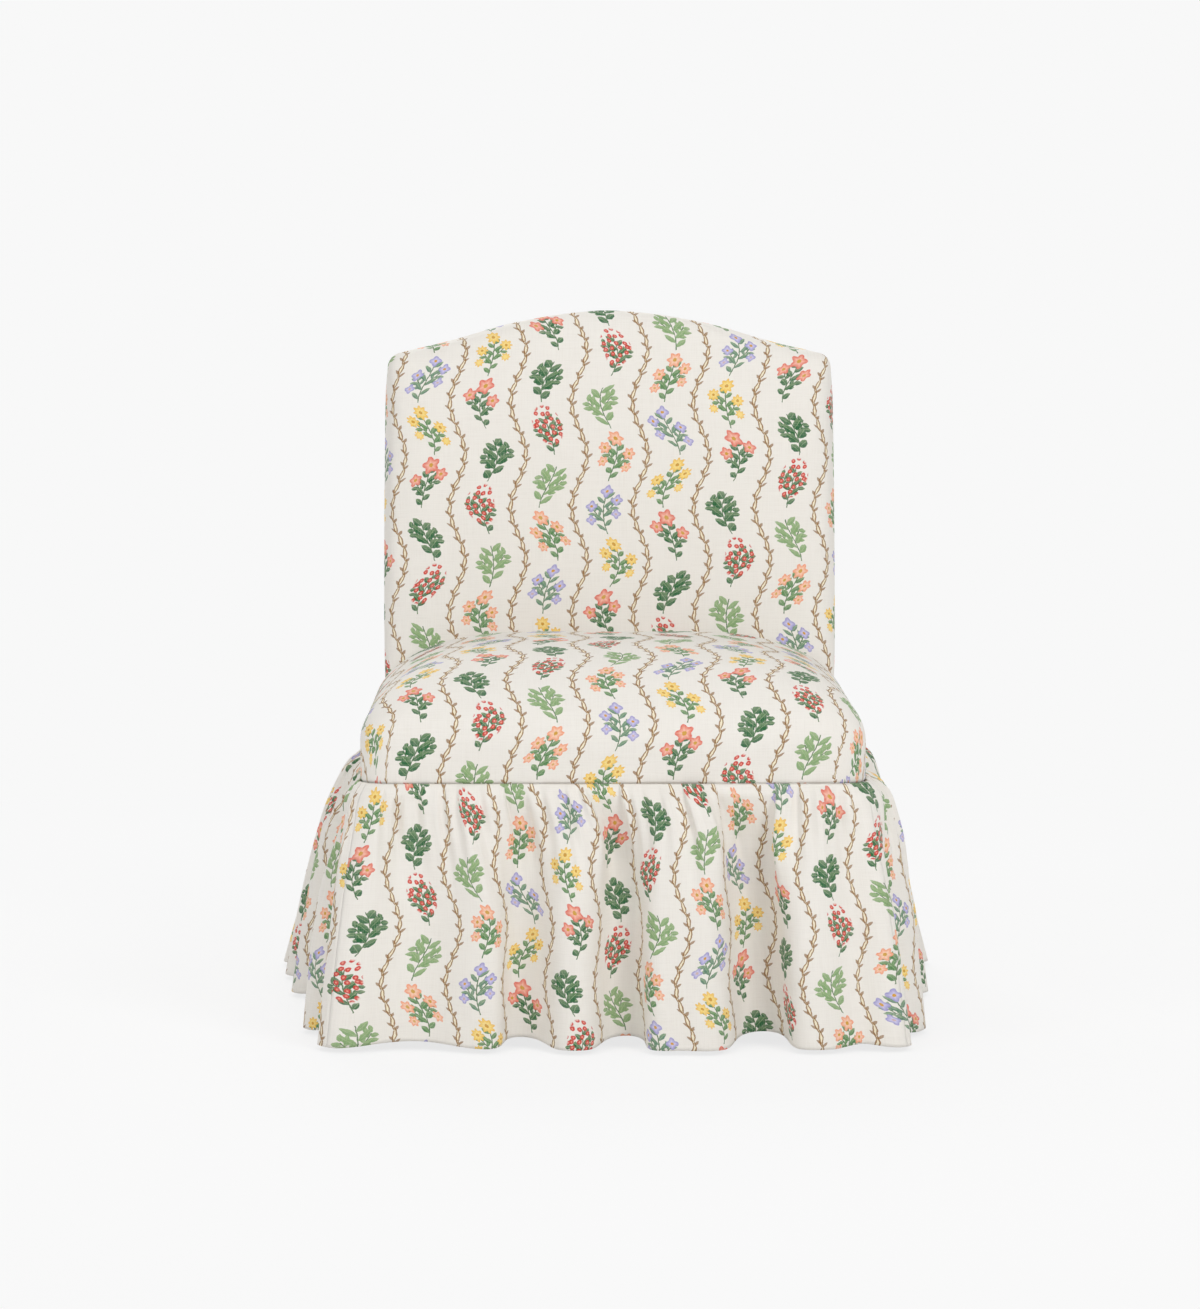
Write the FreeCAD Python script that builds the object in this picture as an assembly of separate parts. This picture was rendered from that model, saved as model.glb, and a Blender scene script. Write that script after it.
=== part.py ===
import FreeCAD, Part

import os
from math import cos, pi, radians, sin, sqrt, tan

from FreeCAD import Placement, Rotation, Vector

# A skirted slipper chair: an armless, fully upholstered side chair with an arched, raked back,
# a crowned tight seat and a gathered skirt that hides four screw-in legs.
# Millimetres. +X is the sitter's left, -Y is the front, +Z is up, and the floor is Z = 0.

# Overall form, measured over the covers
OVERALL_HEIGHT = 880.0
SEAT_WIDTH = 614.0
SEAT_DEPTH = 482.0
DEPTH_GAUGE_HEIGHT = 450.0
BACK_SET_IN = 13.25
BACK_RAKE = 11.0
SEAT_CROWN = 469.0
SEAT_EDGE = 366.0
SEAT_FRONT = -296.0
SEAM_HEIGHT = 316.0
SEAM_TUCK = 16.0
SEAT_CORNER_RADIUS = 40.0
SEAT_REAR_RADIUS = 12.0

# Crown of the seat: how far in from each edge it goes on rising, and how square its shoulder is
CROWN_RUN_SIDE = 200.0
CROWN_RUN_FRONT = 230.0
CROWN_RUN_REAR = 110.0
CROWN_POWER_SIDE = 2.0
CROWN_POWER_FRONT = 2.2
CROWN_POWER_REAR = 3.0
CROWN_STEPS = (0.0, 0.3, 0.5, 0.65, 0.77, 0.86, 0.92, 0.96, 0.985)

# Arch of the back: a rounded crest that turns over into hollow flanks
CREST_HALF_RUN = 146.0
CREST_ANGLE = 17.7
FLANK_RADIUS = 1265.0
SHOULDER_RADIUS = 20.0
BACK_EDGE_RADIUS = 20.0
BACK_CROWN = 5.0
BACK_CROWN_RUN = 110.0
EDGE_STEPS = (90.0, 67.5, 45.0, 22.5, 0.0)

# Upholstery layers
COVER_WALL = 1.5
BATTING_WALL = 7.7
LAYER_GAP = 0.3
SEAT_SIDE_PADDING = 25.0
BACK_FOAM_THICKNESS = 45.0
BURLAP_THICKNESS = 1.0
WEBBING_THICKNESS = 1.5
WEBBING_WIDTH = 50.0
UPRIGHT_WEBS = 3
CROSS_WEBS = 3
REAR_BATTING_WALL = 5.0
TACK_STRIP_THICKNESS = 1.5
TACK_STRIP_WIDTH = 12.0
DECK_CLOTH_THICKNESS = 1.5

# Hardwood frame
RAIL_TOP = 346.0
RAIL_HEIGHT = 140.0
RAIL_THICKNESS = 25.0
POST_WIDTH = 32.0
FRAME_DEPTH = 40.0
TOP_RAIL_PADDING = 24.0
TOP_RAIL_DROP = 142.0
REAR_RAIL_THICKNESS = 22.0
CROSS_RAIL_THICKNESS = 25.0
CROSS_RAIL_RISE = 54.0
CROSS_RAIL_HEIGHT = 50.0
BLOCK_LENGTH = 85.0
BLOCK_NOSE = 30.0
BLOCK_HEIGHT = 45.0

# Legs and glides
LEG_TOP_SIZE = 60.0
LEG_FOOT_SIZE = 34.0
LEG_CORNER_RADIUS = 5.0
LEG_INSET = 43.0
REAR_LEG_SET_FORWARD = 18.0
REAR_LEG_SPLAY = 45.0
GLIDE_RADIUS = 12.0
GLIDE_HEIGHT = 7.0
GLIDE_NAIL_RADIUS = 1.5
GLIDE_NAIL_LENGTH = 15.0

# Hardware
BOLT_RADIUS = 4.0
BOLT_GRIP_IN_LEG = 42.0
BOLT_ABOVE_BLOCK = 4.0
TNUT_BARREL_RADIUS = 5.2
TNUT_BARREL_LENGTH = 11.0
TNUT_FLANGE_RADIUS = 10.0
TNUT_FLANGE_THICKNESS = 1.6
POST_BOLT_RADIUS = 3.0
POST_BOLT_HEAD_RADIUS = 8.0
POST_BOLT_HEAD_THICKNESS = 3.0
POST_BOLT_FROM_RAIL_EDGE = 31.0
POST_BOLT_SETBACK = 9.0
POST_BOLT_END = 3.0
WASHER_RADIUS = 8.0
WASHER_THICKNESS = 1.6
NUT_ACROSS_FLATS = 10.0
NUT_THICKNESS = 5.0
DOWEL_RADIUS = 4.0
DOWEL_IN_SIDE_GRAIN = 18.0
DOWEL_IN_END_GRAIN = 30.0
RAIL_DOWEL_FROM_EDGE = 25.0
SCREW_RADIUS = 2.2
SCREW_HEAD_RADIUS = 4.5
SCREW_LENGTH = 62.0
SCREW_FROM_CORNER = 55.0
FIT = 0.05

# Seat springing
SPRING_COUNT = 5
SPRING_SPACING = 88.0
SPRING_WIRE_RADIUS = 1.75
SPRING_BAR = 30.0
SPRING_PITCH = 20.0
CLIP_LENGTH = 22.0
CLIP_WIDTH = 12.0
CLIP_HEIGHT = 6.2
TIE_WIRE_RADIUS = 1.25
TIE_WIRE_COUNT = 2
TIE_WIRE_OVERLAP = 12.0
SADDLE_WIDTH = 10.0

# Dust cover
DUST_COVER_THICKNESS = 0.8
DUST_COVER_MARGIN = 6.0
STAPLE_CROWN = 10.0
STAPLE_WIRE = 0.7
STAPLE_SPACING = 62.0

# Skirt: how far the hem's centre line stands out past the seam's, at the front, at the rear and
# sideways at the front and rear corners
HEM_HEIGHT = 6.0
SKIRT_WALL = 2.0
SKIRT_STAND_OFF = 3.2
SKIRT_CORNER = 40.0
FLARE_FRONT = 49.0
FLARE_REAR = 68.0
FLARE_FRONT_CORNER = 34.0
FLARE_REAR_CORNER = 101.0
# At stations down the skirt: share of the drop, sweep of the folds in degrees, share of the flare
SKIRT_STATIONS = (
    (0.0, 8.0, 0.0),
    (0.065, 22.0, 0.18),
    (0.175, 38.0, 0.35),
    (0.405, 52.0, 0.6),
    (0.7, 62.0, 0.81),
    (1.0, 68.0, 1.0),
)
# Widths of the folds along each side as shares of it, hollow and crest by turns
FRONT_FOLDS = (1.4, 1.05, 0.95, 0.95, 0.95, 1.2, 1.15, 0.8, 0.6)
SIDE_FOLDS = (0.9, 1.2, 1.0, 0.9, 1.1, 1.2, 1.0, 1.1, 0.8)
REAR_FOLDS = (1.0, 0.9, 1.2, 1.1, 0.8, 1.0, 1.2, 0.9, 1.1, 1.0, 0.9)

# Places worked out from the sizes above
RAKE = radians(BACK_RAKE)
BACK_WIDTH = SEAT_WIDTH - 2 * BACK_SET_IN
CREST_RISE = (OVERALL_HEIGHT - DEPTH_GAUGE_HEIGHT + BACK_EDGE_RADIUS * sin(RAKE)) / cos(RAKE)
TOP_RAIL_UNDERSIDE = CREST_RISE - TOP_RAIL_DROP
COVER_BOTTOM = SEAM_HEIGHT - SEAM_TUCK
RAIL_BOTTOM = RAIL_TOP - RAIL_HEIGHT
CROSS_RAIL_BOTTOM = RAIL_TOP + CROSS_RAIL_RISE
CROSS_RAIL_FOOT = (CROSS_RAIL_BOTTOM - DEPTH_GAUGE_HEIGHT) / cos(RAKE)
RAIL_OUTER = SEAT_WIDTH / 2 - SEAT_SIDE_PADDING
RAIL_INNER = RAIL_OUTER - RAIL_THICKNESS
FRONT_RAIL_FACE = SEAT_FRONT + SEAT_SIDE_PADDING
POST_INNER = RAIL_INNER - POST_WIDTH
BACK_REF_Y = SEAT_FRONT + SEAT_DEPTH
FOAM_INSET = COVER_WALL + BATTING_WALL + 2 * LAYER_GAP
BACK_FOAM_REAR = -(FOAM_INSET + BACK_FOAM_THICKNESS)
BURLAP_FRONT = BACK_FOAM_REAR - LAYER_GAP
WEB_FRONT = BURLAP_FRONT - BURLAP_THICKNESS
FRAME_FRONT = WEB_FRONT - 2 * WEBBING_THICKNESS
FRAME_REAR = FRAME_FRONT - FRAME_DEPTH
REAR_BATTING_FRONT = FRAME_REAR - TACK_STRIP_THICKNESS
REAR_PANEL_FRONT = REAR_BATTING_FRONT - REAR_BATTING_WALL - LAYER_GAP
BACK_REAR = REAR_PANEL_FRONT - COVER_WALL
SPRING_Z = RAIL_TOP + CLIP_HEIGHT / 2
TIE_WIRE_Z = SPRING_Z + SPRING_WIRE_RADIUS + TIE_WIRE_RADIUS + FIT
DECK_BOTTOM = TIE_WIRE_Z + TIE_WIRE_RADIUS + FIT
FOAM_BOTTOM = DECK_BOTTOM + DECK_CLOTH_THICKNESS + LAYER_GAP
LEG_TOP = RAIL_BOTTOM - DUST_COVER_THICKNESS
SIDES = (-1, 1)
FAR = 2000.0

BACK_PLACE = Placement(Vector(0, BACK_REF_Y, DEPTH_GAUGE_HEIGHT), Rotation(Vector(1, 0, 0), 90 - BACK_RAKE))


def back_y(w, z):
    """Y of the plane that lies w in front of the raked back's face, at height z."""
    return BACK_REF_Y + (z - DEPTH_GAUGE_HEIGHT) * tan(RAKE) - w / cos(RAKE)


def box(x, y, z):
    """A box between pairs of x, y and z."""
    return Part.makeBox(x[1] - x[0], y[1] - y[0], z[1] - z[0], Vector(x[0], y[0], z[0]))


def back_box(u, v, w):
    """A box in the raked back's own frame: u across, v up the rake, w towards the sitter."""
    shape = box(u, v, w)
    shape.Placement = BACK_PLACE
    return shape


def rod(start, end, radius):
    """A round rod from one point to another."""
    axis = end.sub(start)
    return Part.makeCylinder(radius, axis.Length, start, axis)


def joined(shapes):
    """Several solids that touch, as one."""
    first, *rest = shapes
    return first.fuse(rest).removeSplitter() if rest else first


def save(name, *shapes):
    """Writes one node, which may hold several separate solids."""
    solids = [solid for shape in shapes for solid in shape.Solids]
    Part.makeCompound(solids).exportStep(os.path.join("parts", name + ".step"))
    volume = sum(solid.Volume for solid in solids)
    state = "" if all(solid.isValid() for solid in solids) else "  INVALID"
    print(f"{name}: {len(solids)} solids, {volume / 1000:.1f} cm3{state}")


def arc(start, middle, end):
    """A circular edge through three points."""
    return Part.Arc(start, middle, end).toShape()


def line(start, end):
    """A straight edge."""
    return Part.LineSegment(start, end).toShape()


# The seat's padded form


def crown_run(step, run, power):
    """How far in from an edge the crown is when it has risen by a share of its height."""
    return run * (1 - (1 - step**power) ** (1 / power))


def rounded_plan(half, front, rear, front_radius, rear_radius, z):
    """A closed outline in plan, with its front corners and rear corners rounded."""
    turns = (
        (half, front, front_radius, 270),
        (half, rear, rear_radius, 0),
        (-half, rear, rear_radius, 90),
        (-half, front, front_radius, 180),
    )
    ends = []
    edges = []
    for x, y, radius, start in turns:
        centre = Vector(x - radius * (1 if x > 0 else -1), y + radius * (1 if y == front else -1), z)
        points = [
            centre + Vector(radius * cos(radians(start + a)), radius * sin(radians(start + a)), 0)
            for a in (0, 45, 90)
        ]
        ends.append((points[0], points[2]))
        edges.append(arc(*points))
    sides = [line(ends[i][1], ends[(i + 1) % 4][0]) for i in range(4)]
    return Part.Wire([edge for pair in zip(edges, sides) for edge in pair])


def seat_section(inset, step, z):
    """The seat's outline in plan where the crown has risen by a share of its height."""
    side = crown_run(step, CROWN_RUN_SIDE - inset, CROWN_POWER_SIDE)
    front = crown_run(step, CROWN_RUN_FRONT - inset, CROWN_POWER_FRONT)
    rear = crown_run(step, CROWN_RUN_REAR - inset, CROWN_POWER_REAR)
    return rounded_plan(
        SEAT_WIDTH / 2 - inset - side,
        SEAT_FRONT + inset + front,
        back_y(BACK_CROWN + LAYER_GAP, z) - inset - rear,
        SEAT_CORNER_RADIUS - inset + 0.5 * side,
        SEAT_REAR_RADIUS - min(inset, SEAT_REAR_RADIUS - 2) + 0.3 * rear,
        z,
    )


def seat_form(inset, bottom):
    """The crowned body of the seat, drawn in by inset, from a bottom height up."""
    rise = SEAT_CROWN - inset - SEAT_EDGE
    top = CROWN_STEPS[-1]
    sections = [seat_section(inset, 0.0, bottom)]
    sections += [seat_section(inset, step, SEAT_EDGE + rise * step / top) for step in CROWN_STEPS]
    return Part.makeLoft(sections, True, True)


# The back's padded form


def back_section(inset, w, bottom):
    """The back's outline, drawn in by inset, in a plane that lies w in front of its face."""
    crest = radians(CREST_ANGLE)
    crest_radius = CREST_HALF_RUN / sin(crest)
    low = Vector(0, CREST_RISE - crest_radius, w)
    reach = crest_radius + FLANK_RADIUS
    high = Vector(reach * sin(crest), low.y + reach * cos(crest), w)
    radius = max(SHOULDER_RADIUS - inset, 2.0)
    half = BACK_WIDTH / 2 - inset
    flank = FLANK_RADIUS + inset
    across = high.x - (half - radius)
    shoulder = Vector(half - radius, high.y - sqrt((flank + radius) ** 2 - across**2), w)
    to_shoulder = (shoulder - high).normalize()
    turn = high + to_shoulder * flank
    crest_end = low + Vector(sin(crest), cos(crest), 0) * (crest_radius - inset)
    to_crest = (crest_end - high).normalize()
    middle = high + (to_crest + to_shoulder).normalize() * flank
    side = shoulder + Vector(radius, 0, 0)
    bend = shoulder + (Vector(1, 0, 0) - to_shoulder).normalize() * radius

    def mirrored(point):
        return Vector(-point.x, point.y, point.z)

    crest_point = Vector(0, low.y + crest_radius - inset, w)
    foot = Vector(half, bottom, w)
    edges = [
        line(mirrored(foot), foot),
        line(foot, side),
        arc(side, bend, turn),
        arc(turn, middle, crest_end),
        arc(crest_end, crest_point, mirrored(crest_end)),
        arc(mirrored(crest_end), mirrored(middle), mirrored(turn)),
        arc(mirrored(turn), mirrored(bend), mirrored(side)),
        line(mirrored(side), mirrored(foot)),
    ]
    return Part.Wire(edges)


def back_form(inset, rear, bottom):
    """The padded back, drawn in by inset, from its face to the plane w = rear and down to z = bottom."""
    foot = (bottom - DEPTH_GAUGE_HEIGHT) / cos(RAKE) - FRAME_DEPTH
    edge = max(BACK_EDGE_RADIUS - inset, 6.0)
    sections = [
        (inset + BACK_CROWN_RUN, BACK_CROWN - inset),
        (inset + BACK_CROWN_RUN / 2, BACK_CROWN * 0.75 - inset),
    ]
    for angle in EDGE_STEPS:
        turn = radians(angle)
        sections.append((inset + edge * (1 - cos(turn)), -inset - edge * (1 - sin(turn))))
    sections.append((inset, rear))
    form = Part.makeLoft([back_section(i, w, foot) for i, w in sections], True, True)
    form.Placement = BACK_PLACE
    return form.common(box((-FAR, FAR), (-FAR, FAR), (bottom, FAR)))


# Frame


def rail_envelope():
    """The block inside the seat's padding that the seat rails fill, with its front corners rounded."""
    plan = rounded_plan(
        RAIL_OUTER, FRONT_RAIL_FACE, FAR, SEAT_CORNER_RADIUS - SEAT_SIDE_PADDING, 1.0, RAIL_BOTTOM
    )
    return Part.Face(plan).extrude(Vector(0, 0, RAIL_HEIGHT))


def frame_slab(front, rear):
    """Everything between two planes of the raked back."""
    return back_box((-FAR / 2, FAR / 2), (-FAR / 2, FAR / 2), (rear, front))


def hex_prism(centre, across_flats, thickness, direction):
    """A hexagonal nut body that lies against the plane x = centre.x."""
    corner = across_flats / sqrt(3)
    points = [
        centre + Vector(0, corner * cos(pi / 3 * i), corner * sin(pi / 3 * i)) for i in range(6)
    ]
    face = Part.Face(Part.makePolygon(points + points[:1]))
    return face.extrude(Vector(direction * thickness, 0, 0))


def dowels_through(joints, length_before, length_after):
    """Dowels and their holes, for joints given as a point on the joint face and a direction."""
    pins = []
    holes = []
    for point, direction in joints:
        start = point - direction * length_before
        end = point + direction * length_after
        pins.append(rod(start, end, DOWEL_RADIUS))
        room = direction * FIT
        holes.append(rod(start - room, end + room, DOWEL_RADIUS + FIT))
    return pins, holes


def leg_centres():
    """Plan positions of the four legs' bolts: name, x, y, splay."""
    rear = back_y(FRAME_FRONT, RAIL_BOTTOM) - REAR_LEG_SET_FORWARD
    places = []
    for side, side_name in zip(SIDES, ("right", "left")):
        x = side * (RAIL_OUTER - LEG_INSET)
        places.append((f"front_{side_name}", x, FRONT_RAIL_FACE + LEG_INSET, 0.0))
        places.append((f"rear_{side_name}", x, rear, REAR_LEG_SPLAY))
    return places


def seat_rails(envelope):
    """The four seat rails: front, rear, right side, left side."""
    levels = (RAIL_BOTTOM, RAIL_TOP)
    in_front_of_rear = frame_slab(FAR / 2, FRAME_REAR)
    front = box((-RAIL_INNER, RAIL_INNER), (FRONT_RAIL_FACE, FRONT_RAIL_FACE + RAIL_THICKNESS), levels)
    rear_slab = frame_slab(FRAME_REAR + REAR_RAIL_THICKNESS, FRAME_REAR)
    rear = box((-POST_INNER, POST_INNER), (0, FAR / 2), levels).common(rear_slab)
    sides = [
        box(sorted((s * RAIL_INNER, s * RAIL_OUTER)), (FRONT_RAIL_FACE, FAR / 2), levels)
        .common(envelope)
        .common(in_front_of_rear)
        for s in SIDES
    ]
    return front, rear, *sides


def back_frame():
    """The raked frame of the back: top rail, cross rail, right post, left post."""
    foot = (RAIL_BOTTOM - DEPTH_GAUGE_HEIGHT) / cos(RAKE) - FRAME_DEPTH
    above_rail_foot = box((-FAR, FAR), (-FAR, FAR), (RAIL_BOTTOM, FAR))
    posts = [
        back_box(
            sorted((s * POST_INNER, s * RAIL_INNER)),
            (foot, TOP_RAIL_UNDERSIDE),
            (FRAME_REAR, FRAME_FRONT),
        ).common(above_rail_foot)
        for s in SIDES
    ]
    arch = Part.Face(back_section(TOP_RAIL_PADDING, FRAME_REAR, 0.0)).extrude(Vector(0, 0, FRAME_DEPTH))
    top = arch.common(box((-RAIL_INNER, RAIL_INNER), (TOP_RAIL_UNDERSIDE, FAR), (-FAR, FAR)))
    top.Placement = BACK_PLACE
    cross = back_box(
        (-POST_INNER, POST_INNER),
        (CROSS_RAIL_FOOT, CROSS_RAIL_FOOT + CROSS_RAIL_HEIGHT),
        (FRAME_FRONT - CROSS_RAIL_THICKNESS, FRAME_FRONT),
    )
    return top, cross, *posts


def frame_dowels():
    """Dowels and their holes: front, rear and cross rails into their neighbours, top rail on the posts."""
    across = Vector(1, 0, 0)
    up_rake = Vector(0, sin(RAKE), cos(RAKE))
    side_joints = []
    top_joints = []
    for s in SIDES:
        for z in (RAIL_BOTTOM + RAIL_DOWEL_FROM_EDGE, RAIL_TOP - RAIL_DOWEL_FROM_EDGE):
            y = FRONT_RAIL_FACE + RAIL_THICKNESS / 2
            side_joints.append((Vector(s * RAIL_INNER, y, z), across * -s))
            y = back_y(FRAME_REAR + REAR_RAIL_THICKNESS / 2, z)
            side_joints.append((Vector(s * POST_INNER, y, z), across * -s))
        for share in (0.25, 0.75):
            z = CROSS_RAIL_BOTTOM + share * CROSS_RAIL_HEIGHT
            y = back_y(FRAME_FRONT - CROSS_RAIL_THICKNESS / 2, z)
            side_joints.append((Vector(s * POST_INNER, y, z), across * -s))
        for share in (0.3, 0.7):
            u = s * (POST_INNER + share * POST_WIDTH)
            top = Vector(u, TOP_RAIL_UNDERSIDE, (FRAME_FRONT + FRAME_REAR) / 2)
            top_joints.append((BACK_PLACE.multVec(top), up_rake))
    pins, holes = dowels_through(side_joints, DOWEL_IN_SIDE_GRAIN, DOWEL_IN_END_GRAIN)
    more_pins, more_holes = dowels_through(top_joints, DOWEL_IN_END_GRAIN, DOWEL_IN_END_GRAIN)
    return pins + more_pins, holes + more_holes


def block_screws(blocks):
    """Countersunk screws from the rails' outer faces into the corner blocks, and their holes."""
    screws = []
    holes = []
    z = RAIL_BOTTOM + BLOCK_HEIGHT / 2
    sink = SCREW_HEAD_RADIUS - SCREW_RADIUS
    for _, _, corner, inward in blocks:
        y = corner.y + inward.y * SCREW_FROM_CORNER
        starts = [(Vector(corner.x - RAIL_THICKNESS * inward.x, y, z), Vector(inward.x, 0, 0))]
        if inward.y > 0:
            x = corner.x + inward.x * SCREW_FROM_CORNER
            starts.append((Vector(x, corner.y - RAIL_THICKNESS, z), Vector(0, 1, 0)))
        for start, way in starts:
            for room, group in ((0.0, screws), (FIT, holes)):
                head = Part.makeCone(SCREW_HEAD_RADIUS + room, SCREW_RADIUS + room, sink, start, way)
                shank = rod(start, start + way * (SCREW_LENGTH + room), SCREW_RADIUS + room)
                group.append(head.fuse(shank))
    return screws, holes


def make_frame():
    """Rails, posts, blocks, dowels, screws and the bolts that join the back to the seat."""
    front_rail, rear_rail, *side_rails = seat_rails(rail_envelope())
    top_rail, cross_rail, *posts = back_frame()
    blocks = make_corner_blocks(FRONT_RAIL_FACE + RAIL_THICKNESS)
    pins, holes = frame_dowels()
    screws, screw_holes = block_screws(blocks)
    bolts, washers, nuts, bolt_holes = make_post_bolts()
    bores = Part.makeCompound(holes + screw_holes + bolt_holes)
    save("seat_front_rail", front_rail.cut(bores))
    save("seat_rear_rail", rear_rail.cut(bores))
    for rail, post, name in zip(side_rails, posts, ("right", "left")):
        save(f"seat_side_rail_{name}", rail.cut(bores))
        save(f"back_post_{name}", post.cut(bores))
    save("back_top_rail", top_rail.cut(bores))
    save("back_cross_rail", cross_rail.cut(bores))
    tnut_bores = Part.makeCompound([make_tnut_bore(x, y) for _, x, y, _ in leg_centres()])
    for name, block, _, _ in blocks:
        save(f"corner_block_{name}", block.cut(bores).cut(tnut_bores))
    save("frame_dowels", *pins)
    save("corner_block_screws", *screws)
    save("back_bolts", *bolts)
    save("back_bolt_washers", *washers)
    save("back_bolt_nuts", *nuts)


def make_corner_blocks(behind_front_rail):
    """The four glued corner blocks: name, solid, the rail corner each sits in and the way in from it."""
    rear_corner = back_y(FRAME_FRONT, RAIL_BOTTOM)
    before_posts = frame_slab(FAR / 2, FRAME_FRONT)
    blocks = []
    for s, side_name in zip(SIDES, ("right", "left")):
        for y, forward, name in ((behind_front_rail, 1, "front"), (rear_corner, -1, "rear")):
            spare = 0.0 if forward > 0 else BLOCK_HEIGHT
            corner = Vector(s * RAIL_INNER, y, RAIL_BOTTOM)
            offsets = (
                (0, -spare),
                (0, BLOCK_LENGTH),
                (BLOCK_NOSE, BLOCK_LENGTH),
                (BLOCK_LENGTH, BLOCK_NOSE),
                (BLOCK_LENGTH, -spare),
            )
            points = [corner + Vector(-s * a, forward * b, 0) for a, b in offsets]
            block = Part.Face(Part.makePolygon(points + points[:1])).extrude(Vector(0, 0, BLOCK_HEIGHT))
            if forward < 0:
                block = block.common(before_posts)
            blocks.append((f"{name}_{side_name}", block, corner, Vector(-s, forward, 0)))
    return blocks


def make_post_bolts():
    """Carriage bolts from each side rail's outer face through the post, with washers and nuts."""
    bolts = []
    washers = []
    nuts = []
    holes = []
    for s in SIDES:
        for z in (RAIL_BOTTOM + POST_BOLT_FROM_RAIL_EDGE, RAIL_TOP - POST_BOLT_FROM_RAIL_EDGE):
            y = back_y(FRAME_FRONT - POST_BOLT_SETBACK, z)
            head_base = s * (RAIL_OUTER - POST_BOLT_HEAD_THICKNESS)
            stop = s * (POST_INNER - WASHER_THICKNESS - NUT_THICKNESS - POST_BOLT_END)
            shank = rod(Vector(head_base, y, z), Vector(stop, y, z), POST_BOLT_RADIUS)
            head = rod(Vector(head_base, y, z), Vector(s * RAIL_OUTER, y, z), POST_BOLT_HEAD_RADIUS)
            bolts.append(head.fuse(shank))
            seat = Vector(s * RAIL_OUTER + s, y, z)
            holes.append(
                rod(Vector(head_base - s * FIT, y, z), seat, POST_BOLT_HEAD_RADIUS + FIT).fuse(
                    rod(seat, Vector(stop, y, z), POST_BOLT_RADIUS + FIT)
                )
            )
            face = Vector(s * POST_INNER, y, z)
            under_nut = face - Vector(s * WASHER_THICKNESS, 0, 0)
            end = under_nut - Vector(s * NUT_THICKNESS, 0, 0)
            bore = rod(face, end, POST_BOLT_RADIUS + FIT)
            washers.append(rod(face, under_nut, WASHER_RADIUS).cut(bore))
            nuts.append(hex_prism(under_nut, NUT_ACROSS_FLATS, NUT_THICKNESS, -s).cut(bore))
    return bolts, washers, nuts, holes


def make_tnut_bore(x, y):
    """The hole in a corner block for a leg's bolt and T-nut."""
    top = RAIL_BOTTOM + BLOCK_HEIGHT
    bolt_way = rod(Vector(x, y, RAIL_BOTTOM - 1), Vector(x, y, top + 1), BOLT_RADIUS + FIT)
    barrel = rod(
        Vector(x, y, top - TNUT_BARREL_LENGTH - FIT), Vector(x, y, top + 1), TNUT_BARREL_RADIUS + FIT
    )
    return bolt_way.fuse(barrel)


def leg_plan(x, y, size, z):
    """A rounded square at height z."""
    half = size / 2
    plan = rounded_plan(half, -half, half, LEG_CORNER_RADIUS, LEG_CORNER_RADIUS, z)
    plan.translate(Vector(x, y, 0))
    return plan


def make_legs():
    """Tapered legs with their glides, hanger bolts and T-nuts."""
    bolts = []
    tnuts = []
    block_top = RAIL_BOTTOM + BLOCK_HEIGHT
    for name, x, y, splay in leg_centres():
        foot = Vector(x, y + splay, GLIDE_HEIGHT)
        leg = Part.makeLoft(
            [leg_plan(x, y, LEG_TOP_SIZE, LEG_TOP), leg_plan(foot.x, foot.y, LEG_FOOT_SIZE, foot.z)],
            True,
            True,
        )
        bolt_foot = Vector(x, y, LEG_TOP - BOLT_GRIP_IN_LEG)
        bolt_bore = rod(bolt_foot - Vector(0, 0, FIT), Vector(x, y, LEG_TOP + 1), BOLT_RADIUS + FIT)
        nail_top = foot + Vector(0, 0, GLIDE_NAIL_LENGTH)
        nail_bore = rod(foot - Vector(0, 0, 1), nail_top + Vector(0, 0, FIT), GLIDE_NAIL_RADIUS + FIT)
        save(f"leg_{name}", leg.cut(bolt_bore).cut(nail_bore))
        sole = Vector(foot.x, foot.y, 0)
        pad = Part.makeCylinder(GLIDE_RADIUS, GLIDE_HEIGHT, sole)
        pad = pad.makeChamfer(1.0, [e for e in pad.Edges if e.BoundBox.ZMax < FIT])
        save(f"glide_{name}", joined([pad, rod(foot, nail_top, GLIDE_NAIL_RADIUS)]))
        bolts.append(rod(bolt_foot, Vector(x, y, block_top + BOLT_ABOVE_BLOCK), BOLT_RADIUS))
        barrel_foot = Vector(x, y, block_top - TNUT_BARREL_LENGTH)
        flange_top = Vector(x, y, block_top + TNUT_FLANGE_THICKNESS)
        barrel = rod(barrel_foot, flange_top, TNUT_BARREL_RADIUS)
        flange = rod(Vector(x, y, block_top), flange_top, TNUT_FLANGE_RADIUS)
        bore = rod(barrel_foot - Vector(0, 0, 1), flange_top + Vector(0, 0, 1), BOLT_RADIUS + FIT)
        tnuts.append(joined([barrel, flange]).cut(bore))
    save("leg_hanger_bolts", *bolts)
    save("leg_tnuts", *tnuts)


# Seat springing


def spring_ends():
    """Y of the clips on the front rail and on the rear rail."""
    front = FRONT_RAIL_FACE + RAIL_THICKNESS / 2
    rear = back_y(FRAME_REAR + REAR_RAIL_THICKNESS / 2, RAIL_TOP)
    return front, rear


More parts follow.
